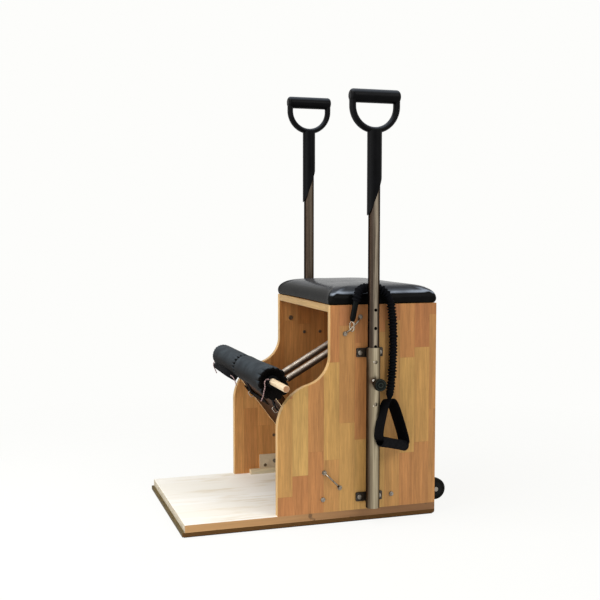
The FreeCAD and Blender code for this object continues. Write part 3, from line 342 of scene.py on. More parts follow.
def stainedPly(name, look):
    material, tree, spot = startMaterial(name, Roughness=0.55, IOR=1.5, Specular_IOR_Level=0.08)
    grain = noise(tree, stretch(tree, spot["Object"], look["lay"]), look["grain"], 4.0)
    tone = ramp(tree, grain, (0.3, look["dark"]), (0.7, look["face"]))
    # the outer edges lie equally far either side of the middle
    reach = calc(tree, "ABSOLUTE", split(tree, spot["Object"])[0])
    start = look["edge"] - look["line"]
    line = times(tree, spread(tree, reach, start, start + look["soft"]), faced(tree, spot, 0, *look["flat"]))
    return surface(material, mix(tree, line, tone, look["raw"]), grain, look["bump"])


dress(stainedPly("stained_ply", pedalLook), *both("pedal_board"))
print("boards dressed")


# stainless tube, drawn and polished: painted reflection as broad light and dark bands down the tube, with
# fine streaks in them, dark at the edge of the view, brown heat tint round the welded plunger
tubeLook = {
    "x": 0.28, "y": 0.162, "bands": 2.4, "band": (-1.0, 1.0, 0.08, 0.8),
    "streaks": 7.0, "streakShare": 0.7, "level": 0.3, "smudge": 45.0, "dull": (-0.06, 0.1),
    "bump": (0.05, 0.0004),
    "weld": (0.299, 0.158, 0.398), "weldReach": 0.017, "weldFade": 0.012, "weldUneven": 0.02,
    "weldShare": 0.85,
    "pole": ((0.08, "#2B2018"), (0.4, "#322A24"), (0.7, "#544A40"), (1.0, "#B5A893")),
    # the left pole's tones are the pole's, painted darker and flatter as shade
    "leftPole": ((0.08, "#231C17"), (0.4, "#352C25"), (0.7, "#463C33"), (1.0, "#6B6053")),
    "sleeve": ((0.08, "#453B30"), (0.42, "#6B5F4E"), (0.75, "#92866F"), (1.0, "#C3B69C")),
    "tint": "#2E170B", "rim": "#4A4238", "hole": "#0B0908", "holeStart": 0.0012, "holeEnd": 0.0004,
}


def drawnStainless(name, look, tones, rough, radius, welded=False):
    material, tree, spot = startMaterial(name, Metallic=1.0, Specular_Tint=look["rim"])
    place = split(tree, spot["Object"])
    dx = calc(tree, "MULTIPLY_ADD", calc(tree, "SIGN", place[0]), -look["x"], place[0])
    dy = calc(tree, "SUBTRACT", place[1], look["y"])
    # painted reflection: the tone follows the angle round the tube, in broad light and dark bands
    turns = times(tree, calc(tree, "ARCTAN2", dy, dx), look["bands"])
    band = spread(tree, calc(tree, "COSINE", turns), *look["band"])
    flat = join(tree, dx, dy)
    streakPlace = vectorCalc(tree, "ADD", vectorCalc(tree, "NORMALIZE", flat), join(tree, 0.0, 0.0, place[2]))
    streak = noise(tree, streakPlace, look["streaks"], 3.0, Roughness=0.6)
    streaksAndReflection = calc(tree, "MULTIPLY_ADD", streak, look["streakShare"], band)
    colour = ramp(tree, calc(tree, "SUBTRACT", streaksAndReflection, look["level"]), *look[tones])
    smudge = noise(tree, spot["Object"], look["smudge"], 4.0)
    if welded:  # the same on both sides
        mirrored = join(tree, calc(tree, "ABSOLUTE", place[0]), place[1], place[2])
        far = vectorCalc(tree, "DISTANCE", mirrored, look["weld"])
        edge = calc(tree, "MULTIPLY_ADD", smudge, look["weldUneven"], far)
        reach = look["weldReach"]
        burn = spread(tree, edge, reach + look["weldFade"], reach, 0.0, look["weldShare"])
        colour = mix(tree, burn, colour, look["tint"])
    # painted shade: bored holes and the inside of the tube are painted dark, where shade falls in them
    offAxis = vectorCalc(tree, "LENGTH", flat)
    inside = spread(tree, offAxis, radius - look["holeStart"], radius - look["holeEnd"], 1.0, 0.0)
    colour = mix(tree, inside, colour, look["hole"])
    return surface(material, colour, streak, look["bump"], dulled(tree, smudge, rough, *look["dull"]))


dress(drawnStainless("drawn_stainless", tubeLook, "pole", 0.3, 0.016), "right_pole")
# the left pole takes a darker, flatter copy of the stainless tones: painted shade
dress(drawnStainless("dulled_shaded_stainless", tubeLook, "leftPole", 0.34, 0.016), "left_pole")
dress(drawnStainless("welded_stainless", tubeLook, "sleeve", 0.4, 0.019, welded=True), *both("sleeve"),
      "plunger_barrels")


# sheet and bar steel: dull or bright, with rubbed patches that catch the light, and where asked a painted
# shade on the lower side
steelLook = {"tint": "#6A645C", "lowerShade": (-0.1, 0.7), "dull": (0.1, -0.06), "bump": (0.08, 0.0003)}


def rubbedSteel(name, base, bright, rough, patch, metal=1.0, under=None):
    material, tree, spot = startMaterial(name, Metallic=metal, Specular_Tint=steelLook["tint"])
    rub = noise(tree, spot["Object"], 1 / patch, 5.0, Roughness=0.6)
    colour = ramp(tree, rub, (0.32, base), (0.7, bright))
    if under:  # painted shade: the lower side is painted darker, as the shade beneath it
        colour = mix(tree, spread(tree, split(tree, spot["Normal"])[2], *steelLook["lowerShade"]), under, colour)
    return surface(material, colour, rub, steelLook["bump"], dulled(tree, rub, rough, *steelLook["dull"]))


darkSteel = rubbedSteel("blued_steel", "#2E2A25", "#57514A", 0.4, 0.009)
zincSteel = rubbedSteel("zinc_steel", "#6B645B", "#ABA398", 0.3, 0.006)
plateSteel = rubbedSteel("galvanised_plate", "#C6B296", "#DCCBAE", 0.5, 0.02, metal=0.1)
boltSteel = rubbedSteel("browned_bolt", "#584836", "#7E6C56", 0.5, 0.01, metal=0.3)
buckleSteel = rubbedSteel("plated_buckle", "#A79F94", "#D8D1C6", 0.34, 0.006, metal=0.35)
# steel buttons coloured near white: partly painted highlight, so that they show as glints
buttonSteel = rubbedSteel("polished_glint_button", "#D6CFC3", "#F2EEE6", 0.3, 0.006, metal=0.2)
eyeSteel = rubbedSteel("pad_eye_steel", "#5C5347", "#AFA393", 0.3, 0.005)
wireSteel = rubbedSteel("nickel_wire", "#857766", "#C2B6A3", 0.24, 0.008)
# the spring's lower side is painted darker: painted shade
springSteel = rubbedSteel("spring_steel_shaded_below", "#B0A496", "#E0D6C8", 0.38, 0.02, metal=0.75, under="#75655A")
dress(darkSteel, "sleeve_brackets", "spring_rail", *both("spring_eye"), *both("pedal_hinge"))
dress(zincSteel, "bracket_bolts", "panel_bolts", "pivot_axle", *both("plunger_pin"), "wheel_brackets")
dress(plateSteel, "pivot_plates")
dress(eyeSteel, "rope_eyes")
dress(wireSteel, "cord_hook", *both("spring_link"))
print("metals dressed")


# moulded black plastic and rubber: fine pebbled skin, softer or sharper gloss
plasticLook = {"scuff": 30.0, "gripTopSheen": (0.35, 0.95), "ringWidth": (0.0004, 0.0012, 1.0, 0.0),
               "dull": (-0.05, 0.08), "bump": 0.08}
knobRings = {"centre": (0.0, 0.162, 0.394), "radii": (0.0135, 0.0062), "pale": "#3A423B"}


def mouldedBlack(name, base, wearAndPaintedLight, rough, pebble, depth, gloss=0.1, rings=None, sheen=None):
    look = plasticLook
    material, tree, spot = startMaterial(name, IOR=1.5, Specular_IOR_Level=gloss)
    skin = noise(tree, spot["Object"], 1 / pebble, 2.0)
    scuff = noise(tree, spot["Object"], look["scuff"], 5.0)
    colour = ramp(tree, scuff, (0.35, base), (0.75, wearAndPaintedLight))
    if sheen:  # painted sheen: the upward faces are painted grey, as the sheen on top
        colour = mix(tree, spread(tree, split(tree, spot["Normal"])[2], *look["gripTopSheen"]), colour, sheen)
    if rings:  # the edges of the turned rings are drawn as paler lines
        reach = fromAxis(tree, spot, rings["centre"])
        for radius in rings["radii"]:
            apart = calc(tree, "ABSOLUTE", calc(tree, "SUBTRACT", reach, radius))
            colour = mix(tree, spread(tree, apart, *look["ringWidth"]), colour, rings["pale"])
    return surface(material, colour, skin, (look["bump"], depth), dulled(tree, scuff, rough, *look["dull"]))


# the grip's upward faces carry a painted grey sheen
gripPlastic = mouldedBlack("polypropylene_grip", "#060607", "#0B0B0D", 0.34, 0.0014, 0.0002, gloss=0.05,
                           sheen="#484D54")
knobPlastic = mouldedBlack("phenolic_knob", "#0A0D0B", "#141814", 0.34, 0.0016, 0.0001, gloss=0.08,
                           rings=knobRings)
tyreRubber = mouldedBlack("tyre_rubber", "#0C0C0A", "#151411", 0.55, 0.002, 0.0003, gloss=0.06)
matRubber = mouldedBlack("mat_rubber", "#17171A", "#26262A", 0.75, 0.004, 0.0006)
corePlastic = mouldedBlack("core_tube", "#060607", "#0C0C0E", 0.5, 0.003, 0.0002, gloss=0.04)
ferruleRubber = mouldedBlack("shrink_sleeve", "#070908", "#0E1110", 0.36, 0.003, 0.0002, gloss=0.05)
hubPlastic = mouldedBlack("nylon_hub", "#0E0E0E", "#181816", 0.45, 0.002, 0.0002)
dress(gripPlastic, *both("hand_grip"))
dress(tyreRubber, *both("wheel_tyre"))
dress(hubPlastic, *both("wheel_hub"))
dress(matRubber, "anti_slip_mat")
dress(corePlastic, *both("pedal_core"))
dress(ferruleRubber, "cord_ferrule")
print("plastics dressed")


# mesh helpers
def aloneActive(piece):
    if bpy.context.mode != "OBJECT":
        bpy.ops.object.mode_set(mode="OBJECT")
    bpy.ops.object.select_all(action="DESELECT")
    piece.select_set(True)
    bpy.context.view_layer.objects.active = piece


def selectParts(piece, kind, wanted):
    if bpy.context.mode != "EDIT_MESH":
        bpy.ops.object.mode_set(mode="EDIT")
    bpy.ops.mesh.select_mode(type={"edges": "EDGE", "faces": "FACE"}[kind])
    bpy.ops.mesh.select_all(action="DESELECT")
    shape = bmesh.from_edit_mesh(piece.data)
    for part in getattr(shape, kind):
        part.select_set(wanted(part))
    bmesh.update_edit_mesh(piece.data)


def applyPlace():
    bpy.ops.object.transform_apply(location=True, rotation=True, scale=True)
    return bpy.context.object


def addPiece(name, data):
    piece = bpy.data.objects.new(name, data)
    bpy.context.scene.collection.objects.link(piece)
    return piece


def modify(piece, kind, **settings):
    modifier = piece.modifiers.new(kind, kind)
    for key, value in settings.items():
        setattr(modifier, key, value)
    return modifier


def applyModifiers(piece):
    aloneActive(piece)
    for modifier in list(piece.modifiers):
        bpy.ops.object.modifier_apply(modifier=modifier.name)


def settle(piece, name, material, body, slot, *replaced):
    aloneActive(piece)
    applyPlace()
    piece.name = name
    piece.data.name = name
    piece.data.materials.clear()
    piece.data.materials.append(material)
    if body:
        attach(piece, body)
    if replaced:
        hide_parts(*replaced)
    return piece


def ringMesh(name, rings, capped=True, merged=False):
    count = len(rings[0])
    faces = []
    for ring in range(len(rings) - 1):
        for step in range(count):
            here = ring * count + step
            beside = ring * count + (step + 1) % count
            faces.append((here, beside, beside + count, here + count))
    if capped:
        faces.append(tuple(reversed(range(count))))
        faces.append(tuple(range(len(rings) * count - count, len(rings) * count)))
    mesh = bpy.data.meshes.new(name)
    mesh.from_pydata([spot for ring in rings for spot in ring], [], faces)
    piece = addPiece(name, mesh)
    aloneActive(piece)
    bpy.ops.object.mode_set(mode="EDIT")
    bpy.ops.mesh.select_all(action="SELECT")
    if merged:  # the last ring closes on the first
        bpy.ops.mesh.remove_doubles(threshold=1e-6)
    bpy.ops.mesh.normals_make_consistent(inside=False)
    bpy.ops.object.mode_set(mode="OBJECT")
    bpy.ops.object.shade_smooth()
    return piece


def roundRing(centre, side, up, radius, count):
    angles = [math.tau * turn / count for turn in range(count)]
    return [centre + (side * math.cos(angle) + up * math.sin(angle)) * radius * mm for angle in angles]


def eased(value, start, span):
    return min(1.0, max(0.0, (value - start) / span))


# cords
def routeCurve(name, route, resolution, closed=False):
    curve = bpy.data.curves.new(name, "CURVE")
    curve.dimensions = "3D"
    spline = curve.splines.new("NURBS")
    spline.points.add(len(route) - 1)
    for spot, place in zip(spline.points, route):
        spot.co = (place[0] * mm, place[1] * mm, place[2] * mm, 1)
    spline.order_u = 3
    spline.use_endpoint_u = not closed
    spline.use_cyclic_u = closed
    spline.resolution_u = resolution
    return addPiece(name, curve)


def routeLine(route, resolution, closed=False):
    # points along a smooth route
    piece = routeCurve("route", route, resolution, closed)
    mesh = bpy.data.meshes.new_from_object(piece)
    line = [spot.co.copy() for spot in mesh.vertices]
    bpy.data.meshes.remove(mesh)
    bpy.data.objects.remove(piece)
    return line


def lineLength(line):
    return sum((after - before).length for before, after in zip(line, line[1:]))


def evenly(line, step):
    # the same line as points a fixed step apart
    spots = [line[0].copy()]
    due = step
    done = 0.0
    for before, after in zip(line, line[1:]):
        span = (after - before).length
        while span > 0 and done + span >= due:
            spots.append(before.lerp(after, (due - done) / span))
            due += step
        done += span
    return spots


def lineFrames(line, start):
    # heading and two sides at each point, carried along without twist
    frames = []
    side = Vector(start)
    for index, spot in enumerate(line):
        heading = line[min(index + 1, len(line) - 1)] - line[max(index - 1, 0)]
        heading.normalize()
        side = (side - heading * side.dot(heading)).normalized()
        frames.append((spot, heading, side, heading.cross(side)))
    return frames


# nylon sleeve gathered over elastic: matt black, tight crossways ruffles
def gatheredNylon(name, base, lit):
    material, tree, spot = startMaterial(name, Roughness=0.75, IOR=1.45, Specular_IOR_Level=0.04)
    weave = noise(tree, spot["Object"], 700.0, 2.0)
    return surface(material, ramp(tree, weave, (0.3, base), (0.75, lit)), weave, (0.35, 0.0003))


sleeveNylon = gatheredNylon("gathered_nylon", "#060608", "#111216")

cordSize = {
    "diameter": 20.0, "length": 407.5, "core": 10.5, "ruffle": 5.6, "pitch": 8.6, "step": 0.8, "sides": 30,
    "drift": 0.011, "sway": 0.12, "sharp": 0.8, "sink": 0.42, "seed": 7,
    "bunch": 1.5, "bunched": 130.0, "drawn": 48.0, "flat": 0.3,
    "tail": 14.0, "tailEnd": 5.0, "tailStart": 2.0, "tailSteps": 16, "tailSides": 24, "taper": 1.4,
    "rib": 0.6, "ribPitch": 2.6,
    "route": ((267, 115.5, 617), (268.3, 118, 632.2), (262, 126.5, 647.5), (250.3, 144, 652),
              (250.3, 178, 652.3), (258.5, 196, 647), (266, 210, 632), (268, 219, 607), (266.5, 224.5, 565),
              (264, 228, 505), (264, 227, 445), (266.5, 222, 393), (276, 213, 358)),
}


def ruffledCord(size):
    line = routeLine(size["route"], 16)
    draw = random.Random(size["seed"])
    waves = [(draw.randint(1, 4), draw.uniform(0, math.tau), draw.uniform(0.2, 0.75)) for _ in range(5)]
    pleats = [draw.uniform(0.45, 1.0) for _ in range(int(size["length"] / size["pitch"]) + 8)]
    rings = []
    for index, (spot, _, side, up) in enumerate(lineFrames(evenly(line, size["step"] * mm), (1, 0, 0))):
        run = index * size["step"]
        crowd = size["bunch"] * max(0.0, math.sin(math.pi * min(1.0, run / size["bunched"])))
        left = eased(size["length"] - run, 0.0, size["drawn"])
        stand = size["ruffle"] * (size["flat"] + (1 - size["flat"]) * left)
        ring = []
        for step in range(size["sides"]):
            angle = math.tau * step / size["sides"]
            drift = sum(share * math.sin(count * angle + start + run * size["drift"] * count)
                        for count, start, share in waves)
            phase = run / size["pitch"] + size["sway"] * drift
            fold = 0.5 - 0.5 * math.cos(math.tau * phase)
            height = pleats[int(phase) + 3]
            radius = size["core"] + crowd + stand * (height * fold ** size["sharp"] - size["sink"])
            ring.append(spot + (side * math.cos(angle) + up * math.sin(angle)) * radius * mm)
        rings.append(ring)
    name = "resistance_cord_cover"
    return settle(ringMesh(name, rings), name, sleeveNylon, "frame", "cord_sleeve", "resistance_cord"), line


cordCover, cordLine = ruffledCord(cordSize)
print("resistance cord", round(lineLength(cordLine), 4), "m along its spline")


def cordTail(size, line):
    # the sleeve narrows into the strap
    heading = (line[-1] - line[-2]).normalized()
    ends = [line[-1] - heading * size["tailStart"] * mm, line[-1] + heading]
    spot, heading, side, up = lineFrames(ends, (1, 0, 0))[0]
    rings = []
    for step in range(size["tailSteps"] + 1):
        share = step / size["tailSteps"]
        reach = size["tailStart"] + share * size["tail"]
        radius = size["tailEnd"] + (size["core"] - size["tailEnd"]) * (1 - share) ** size["taper"]
        radius += size["rib"] * abs(math.sin(math.pi * reach / size["ribPitch"]))
        rings.append(roundRing(spot + heading * reach * mm, side, up, radius, size["tailSides"]))
    name = "cord_tail_cover"
    return settle(ringMesh(name, rings), name, sleeveNylon, "frame", "cord_sleeve", "cord_tail")


tailCover = cordTail(cordSize, cordLine)

# polyester drawstring: thin mauve cord with twisted strands
stringSize = {
    "diameter": 3.0, "strand": 0.0032, "lay": (0.6, 0.4, 0.7),
    "routes": {
        "right_drawstring": ("right_pedal", 76.3, (
            (284, -137, 417), (290, -137, 417), (293, -143, 420), (293, -149.5, 416.5), (291.5, -151, 408),
            (291, -148.5, 398), (291, -152.5, 387), (291.5, -154, 374), (291, -160, 361.5))),
        "left_drawstring": ("left_pedal", 144.2, (
            (-143, -149.85, 382.98), (-143, -153.1, 379.3), (-134, -154.5, 374), (-124, -153.5, 371.5),
            (-109, -153, 371), (-84, -153.5, 375), (-58, -153.5, 378), (-36, -153, 374), (-21, -152, 366),
            (-12.5, -151, 355.5))),
        "left_end_drawstring": ("left_pedal", 55.7, (
            (-287.05, -145.2, 395.6), (-293, -145.2, 395.6), (-295.5, -148.5, 392.5), (-295.5, -154.5, 386),
            (-293.5, -156.5, 377), (-291, -151.5, 366), (-290, -146, 352))),
    },
}


def twistedPolyester(name, size):
    material, tree, spot = startMaterial(name, Roughness=0.6, IOR=1.5, Sheen_Weight=0.2)
    lay = addNode(tree, "Mapping", {"Vector": spot["Object"], "Rotation": size["lay"]}).outputs[0]
    twist = addNode(tree, "TexWave", {"Vector": lay, "Scale": 0.05 / size["strand"] * math.tau,
                                      "Distortion": 1.5}).outputs["Fac"]
    return surface(material, ramp(tree, twist, (0.2, "#5C4040"), (0.8, "#A98A86")), twist, (0.5, 0.0004))


stringPolyester = twistedPolyester("twisted_polyester", stringSize)
for node, (body, length, route) in stringSize["routes"].items():
    string = routeCurve(node + "_cord", route, 10)
    string.data.bevel_depth = stringSize["diameter"] / 2 * mm
    string.data.bevel_resolution = 3
    string.data.use_fill_caps = True
    settle(string, node + "_cord", stringPolyester, body, "drawstring_cord", node)
print("drawstrings laid")


# nylon webbing: ribs across the band, thread crowns painted brighter and grooves darker as their light and
# shade, drawn coarse enough to show
webLook = {"rib": 0.0022, "rows": 0.003, "base": "#070708", "lit": "#131316", "crown": (0.0, 0.2),
           "bump": (0.5, 0.0004), "columns": 6, "edge": 0.3}


def nylonWebbing(name, look):
    material, tree, _ = startMaterial(name, Roughness=0.62, IOR=1.5, Specular_IOR_Level=0.02)
    place = split(tree, addNode(tree, "UVMap", uv_map="band").outputs[0])
    rib, row = (calc(tree, "PINGPONG", times(tree, place[axis], 1 / look[key]), 0.5)
                for axis, key in enumerate(("rib", "rows")))
    # painted light and shade: crowns of the threads are brighter, the grooves between them darker
    height = spread(tree, times(tree, rib, row), *look["crown"])
    return surface(material, mix(tree, height, look["base"], look["lit"]), height, look["bump"])


blackWebbing = nylonWebbing("nylon_webbing", webLook)


def webbingBand(size, name, body, line, wides, halves, *replaced):
    # a flat band along a line, its width across the given direction
    wides, halves = (given if isinstance(given, list) else [given] * len(line) for given in (wides, halves))
    columns = webLook["columns"]
    mesh = bpy.data.meshes.new(name)
    spots, coords, faces = [], [], []
    run = 0.0
    for index, (spot, wide, half) in enumerate(zip(line, wides, halves)):
        run += (spot - line[index - 1]).length if index else 0.0
        for column in range(columns + 1):
            share = 2 * column / columns - 1
            spots.append(spot + wide * half * share)
            coords.append((run, half * share))
    stride = columns + 1
    for index in range(len(line) - 1):
        for column in range(columns):
            here = index * stride + column
            faces.append((here, here + 1, here + 1 + stride, here + stride))
    mesh.from_pydata(spots, [], faces)
    layer = mesh.uv_layers.new(name="band")
    for loop in mesh.loops:
        layer.data[loop.index].uv = coords[loop.vertex_index]
    piece = addPiece(name, mesh)
    thickness = size["thickness"] * mm
    modify(piece, "SOLIDIFY", thickness=thickness, offset=0)
    modify(piece, "BEVEL", width=thickness * webLook["edge"], segments=2, limit_method="ANGLE")
    applyModifiers(piece)
    bpy.ops.object.shade_smooth_by_angle(angle=math.radians(40))
    return settle(piece, name, blackWebbing, body, "black_webbing", *replaced)


# foam: closed-cell skin, soft and dull
def closedFoam(name):
    material, tree, spot = startMaterial(name, Roughness=0.8, IOR=1.4, Specular_IOR_Level=0.05)
    cells = addNode(tree, "TexVoronoi", {"Vector": spot["Object"], "Scale": 620.0}).outputs["Distance"]
    tone = ramp(tree, noise(tree, spot["Object"], 90.0, 4.0), (0.3, "#0D0D0E"), (0.75, "#18181A"))
    return surface(material, tone, cells, (0.35, 0.0005))


gripFoam = closedFoam("closed_cell_foam")

# hand strap and its grip
handleSize = {
    "low": (273, 261.5, 210), "high": (326, 164, 240), "lowOverrun": 7.0, "highOverrun": 15.0,
    "peak": (279.6, 209.6, 344.9), "width": 31.0, "lowWidth": 38.0, "gripWidth": 23.0, "thickness": 2.5,
    "corner": 17.0, "cornerShare": 0.3, "top": 15.0, "drop": 1.25, "inset": 10.0, "near": 4.0, "softening": 6,
    "foam": 14.9, "waist": 13.9, "bore": 12.9, "steps": 26, "around": 40,
    "rim": ((0.0, 2.6), (0.5, 1.2), (1.6, 0.3), (3.2, 0.0)),  # in from the end, cut off the radius
}


def handStrap(size):
    low, high, peak = (Vector(size[key]) for key in ("low", "high", "peak"))
    along = (high - low).normalized()
    middle = (low + high) / 2
    rise = peak - middle
    lean = rise.dot(along)
    up = (rise - along * lean).normalized()
    half = (high - low).length / 2
    top = rise.dot(up)
    lowEnd = -half - size["lowOverrun"]
    highEnd = half + size["highOverrun"]
    corners = [Vector(corner) for corner in ((lowEnd, -size["drop"]), (highEnd, -size["drop"]),
                                             (lean + size["top"], top), (lean - size["top"], top))]
    route = []
    for index, here in enumerate(corners):
        for other in (corners[index - 1], corners[(index + 1) % len(corners)]):
            reach = min(size["corner"], (other - here).length * size["cornerShare"])
            flat = here + (other - here).normalized() * reach
            route.append(middle + along * flat.x + up * flat.y)
    line = routeLine(route, 12, closed=True)
    line.append(line[0].copy())
    halves = []
    for spot in line:
        offset = spot / mm - middle
        run = offset.dot(along)
        inside = (lowEnd + size["inset"] < run < highEnd - size["inset"]
                  and abs(offset.dot(up) + size["drop"]) < size["near"])
        leg = size["lowWidth"] if run < lean else size["width"]
        halves.append((size["gripWidth"] if inside else leg) / 2 * mm)
    for _ in range(size["softening"]):  # the band narrows softly into the grip
        halves = [(halves[i - 1] + halves[i] + halves[(i + 1) % len(halves)]) / 3 for i in range(len(halves))]
    wide = along.cross(up).normalized()
    webbingBand(size, "hand_strap_webbing", "frame", line, wide, halves, "cord_hand_strap")


def foamGrip(size):
    low, high = Vector(size["low"]) * mm, Vector(size["high"]) * mm
    along = (high - low).normalized()
    span = (high - low).length / mm
    _, _, side, up = lineFrames([low, high], (0, 0, 1))[0]
    end = [(0.0, size["bore"])] + [(reach, size["foam"] - cut) for reach, cut in size["rim"]]
    inset = size["rim"][-1][0]
    profile = list(end)
    for step in range(1, size["steps"]):
        share = step / size["steps"]
        swell = size["waist"] + (size["foam"] - size["waist"]) * (2 * share - 1) ** 2
        profile.append((inset + (span - 2 * inset) * share, swell))
    profile += [(span - reach, radius) for reach, radius in reversed(end)] + end[:1]
    rings = [roundRing(low + along * reach * mm, side, up, radius, size["around"])
             for reach, radius in profile]
    name = "foam_hand_grip"
    piece = ringMesh(name, rings, capped=False, merged=True)
    settle(piece, name, gripFoam, "frame", "black_rubber", "cord_hand_grip")


handStrap(handleSize)
foamGrip(handleSize)
# the strap and grip hang beyond the cord's reach, so they are not among its pieces
print("cord handle made")


# springs: close-wound wire, drawn with flattened flanks, and a hook at each end
springSize = {
    "x": 39.0, "lever": (-45.43, 355.76), "rail": (322.0, 566.0), "low": 39.45, "high": 408.38,
    "wire": 3.3, "radius": 8.4, "pitch": 3.32, "steps": 16, "reach": 12.35, "rise": 4.0, "tail": 4.0,
    "shank": 3, "bend": 16, "section": 10, "square": 0.6,
}


def springWire(size, side):
    start = Vector((side * size["x"], *size["lever"]))
    stop = Vector((side * size["x"], *size["rail"]))
    line = (stop - start).normalized()
    out = Vector((1, 0, 0))
    up = line.cross(out)
    radius, low, high = size["radius"], size["low"], size["high"]

    def hook(base, way):
        # straight up from the last turn, over the axis and back down a little
        foot = base + way * size["rise"]
        centre = base + way * size["reach"]
        steps = []
        for step in range(1, size["shank"] + 1):
            height = foot + (centre - foot) * step / size["shank"]
            steps.append((up * way, up * way * radius + line * height))
        for step in range(1, size["bend"] + 1):
            angle = math.pi * step / size["bend"]
            turned = up * way * math.cos(angle) + line * way * math.sin(angle)
            steps.append((turned, turned * radius + line * centre))
        steps.append((-up * way, -up * way * radius + line * (centre - way * size["tail"])))
        return [((start + place) * mm, outward) for outward, place in steps]

    turns = round((high - low) / size["pitch"]) + 0.5
    count = round(turns * size["steps"])
    lift = size["steps"] // 4
    wire = list(reversed(hook(low, -1)))  # points with their outward direction
    for step in range(count + 1):
        angle = -math.pi / 2 + math.tau * turns * step / count
        height = low + (high - low) * step / count
        height -= size["rise"] * max(0.0, 1 - step / lift) ** 2  # the end turns lift into the hooks
        height += size["rise"] * max(0.0, 1 - (count - step) / lift) ** 2
        outward = out * math.cos(angle) + up * math.sin(angle)
        wire.append(((start + outward * radius + line * height) * mm, outward))
    wire += hook(high, 1)
    rings = []
    for index, (spot, outward) in enumerate(wire):
        heading = (wire[min(index + 1, len(wire) - 1)][0] - wire[max(index - 1, 0)][0]).normalized()
        outward = (outward - heading * outward.dot(heading)).normalized()
        beside = heading.cross(outward)
        ring = []
        for step in range(size["section"]):
            angle = math.tau * (step + 0.5) / size["section"]
            a, b = (math.copysign(abs(v) ** size["square"], v) for v in (math.cos(angle), math.sin(angle)))
            ring.append(spot + (outward * a + beside * b) * size["wire"] / 2 * mm)
        rings.append(ring)
    return ringMesh("spring", rings), (start + line * low) * mm, (start + line * high) * mm


for sideName, side in handed:
    coil, coilLow, coilHigh = springWire(springSize, side)
    settle(coil, sideName + "_spring_wire", springSteel, None, "spring_steel", sideName + "_spring_coil")
    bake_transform(coil)
print("springs wound")


# vinyl upholstery: embossed leather grain, soft gloss, a painted sheen on top and a painted highlight on the
# shoulder
vinylLook = {
    "grain": 0.0016, "broad": 14.0, "base": "#0C0C0C", "lit": "#141413", "wearAndPaintedLight": "#35373B",
    "shoulderHighlight": "#98A1AE",
    "rise": (0.56, 0.7), "fall": (0.74, 0.9, 1.0, 0.0), "patchy": (0.35, 0.65, 0.5, 1.0), "ends": (0.2, 0.6),
    "vinylTopSheen": (0.8, 0.92), "rough": (0.3, 0.7, 0.2, 0.26), "bump": (0.05, 0.0003),
}


def embossedVinyl(name, look):
    material, tree, spot = startMaterial(name, IOR=1.5, Specular_IOR_Level=0.016)
    grain = addNode(tree, "TexVoronoi", {"Vector": spot["Object"], "Scale": 1 / look["grain"]},
                    feature="DISTANCE_TO_EDGE").outputs["Distance"]
    broad = noise(tree, spot["Object"], look["broad"], 4.0)
    upward = split(tree, spot["Normal"])[2]
    tone = ramp(tree, broad, (0.3, look["base"]), (0.75, look["lit"]))
    # painted sheen: the upward faces are painted grey, as the reflection on top
    wearAndPaintedLight = mix(tree, spread(tree, upward, *look["vinylTopSheen"]), tone, look["wearAndPaintedLight"])
    # painted highlight: a paler band along the shoulder of the long sides, where the light would catch it
    share = times(tree, spread(tree, upward, *look["rise"]), spread(tree, upward, *look["fall"]),
                  spread(tree, broad, *look["patchy"]), faced(tree, spot, 0, *look["ends"]))
    colour = mix(tree, share, wearAndPaintedLight, look["shoulderHighlight"])
    return surface(material, colour, grain, look["bump"], spread(tree, broad, *look["rough"]))


seatVinyl = embossedVinyl("embossed_vinyl", vinylLook)

# seat cushion: a crowned form a little smaller than its space, swollen as cloth under pressure
seatSize = {
    "corner": 15.0, "cornerGrow": 0.25, "around": 15, "drawn": 4.0, "drawnPower": 0.7, "start": -1.0,
    "voxel": 4.5, "swell": 3.0, "frames": 20, "pressure": 4.0, "low": 606.4, "held": 3.0,
    "pleat": 1.1, "pleatWide": 9.0, "pleatLong": 48.0, "pleatFade": 20.0,
    # inset from the widest line, height
    "profile": ((7, 606.4), (3, 608.5), (0.8, 612.5), (0, 619), (0.9, 626), (3.6, 633), (8.5, 639.5),
                (15.5, 644.5), (25, 648.5), (38, 651.5), (56, 653.7), (80, 655.5), (110, 656.8),
                (150, 657.6)),
}


def swellCloth(piece, size, pinned):
    # cloth under pressure, then each point's travel is capped
    hold = piece.vertex_groups.new(name="held")
    hold.add([spot.index for spot in piece.data.vertices if pinned(spot.co)], 1.0, "REPLACE")
    cloth = modify(piece, "CLOTH")
    cloth.settings.vertex_group_mass = "held"
    cloth.settings.use_pressure = True
    cloth.settings.uniform_pressure_force = size["pressure"]
    cloth.settings.effector_weights.gravity = 0
    cloth.collision_settings.use_collision = False
    scene = bpy.context.scene
    before = [spot.co.copy() for spot in piece.data.vertices]
    for step in range(1, size["frames"] + 1):
        scene.frame_set(step)
    swollen = piece.evaluated_get(bpy.context.evaluated_depsgraph_get())
    after = [spot.co.copy() for spot in swollen.data.vertices]
    scene.frame_set(1)
    piece.modifiers.remove(cloth)
    piece.vertex_groups.remove(hold)
    limit = size["swell"] * mm
    for spot, old, new in zip(piece.data.vertices, before, after):
        move = new - old
        spot.co = old + (move if move.length <= limit else move.normalized() * limit)


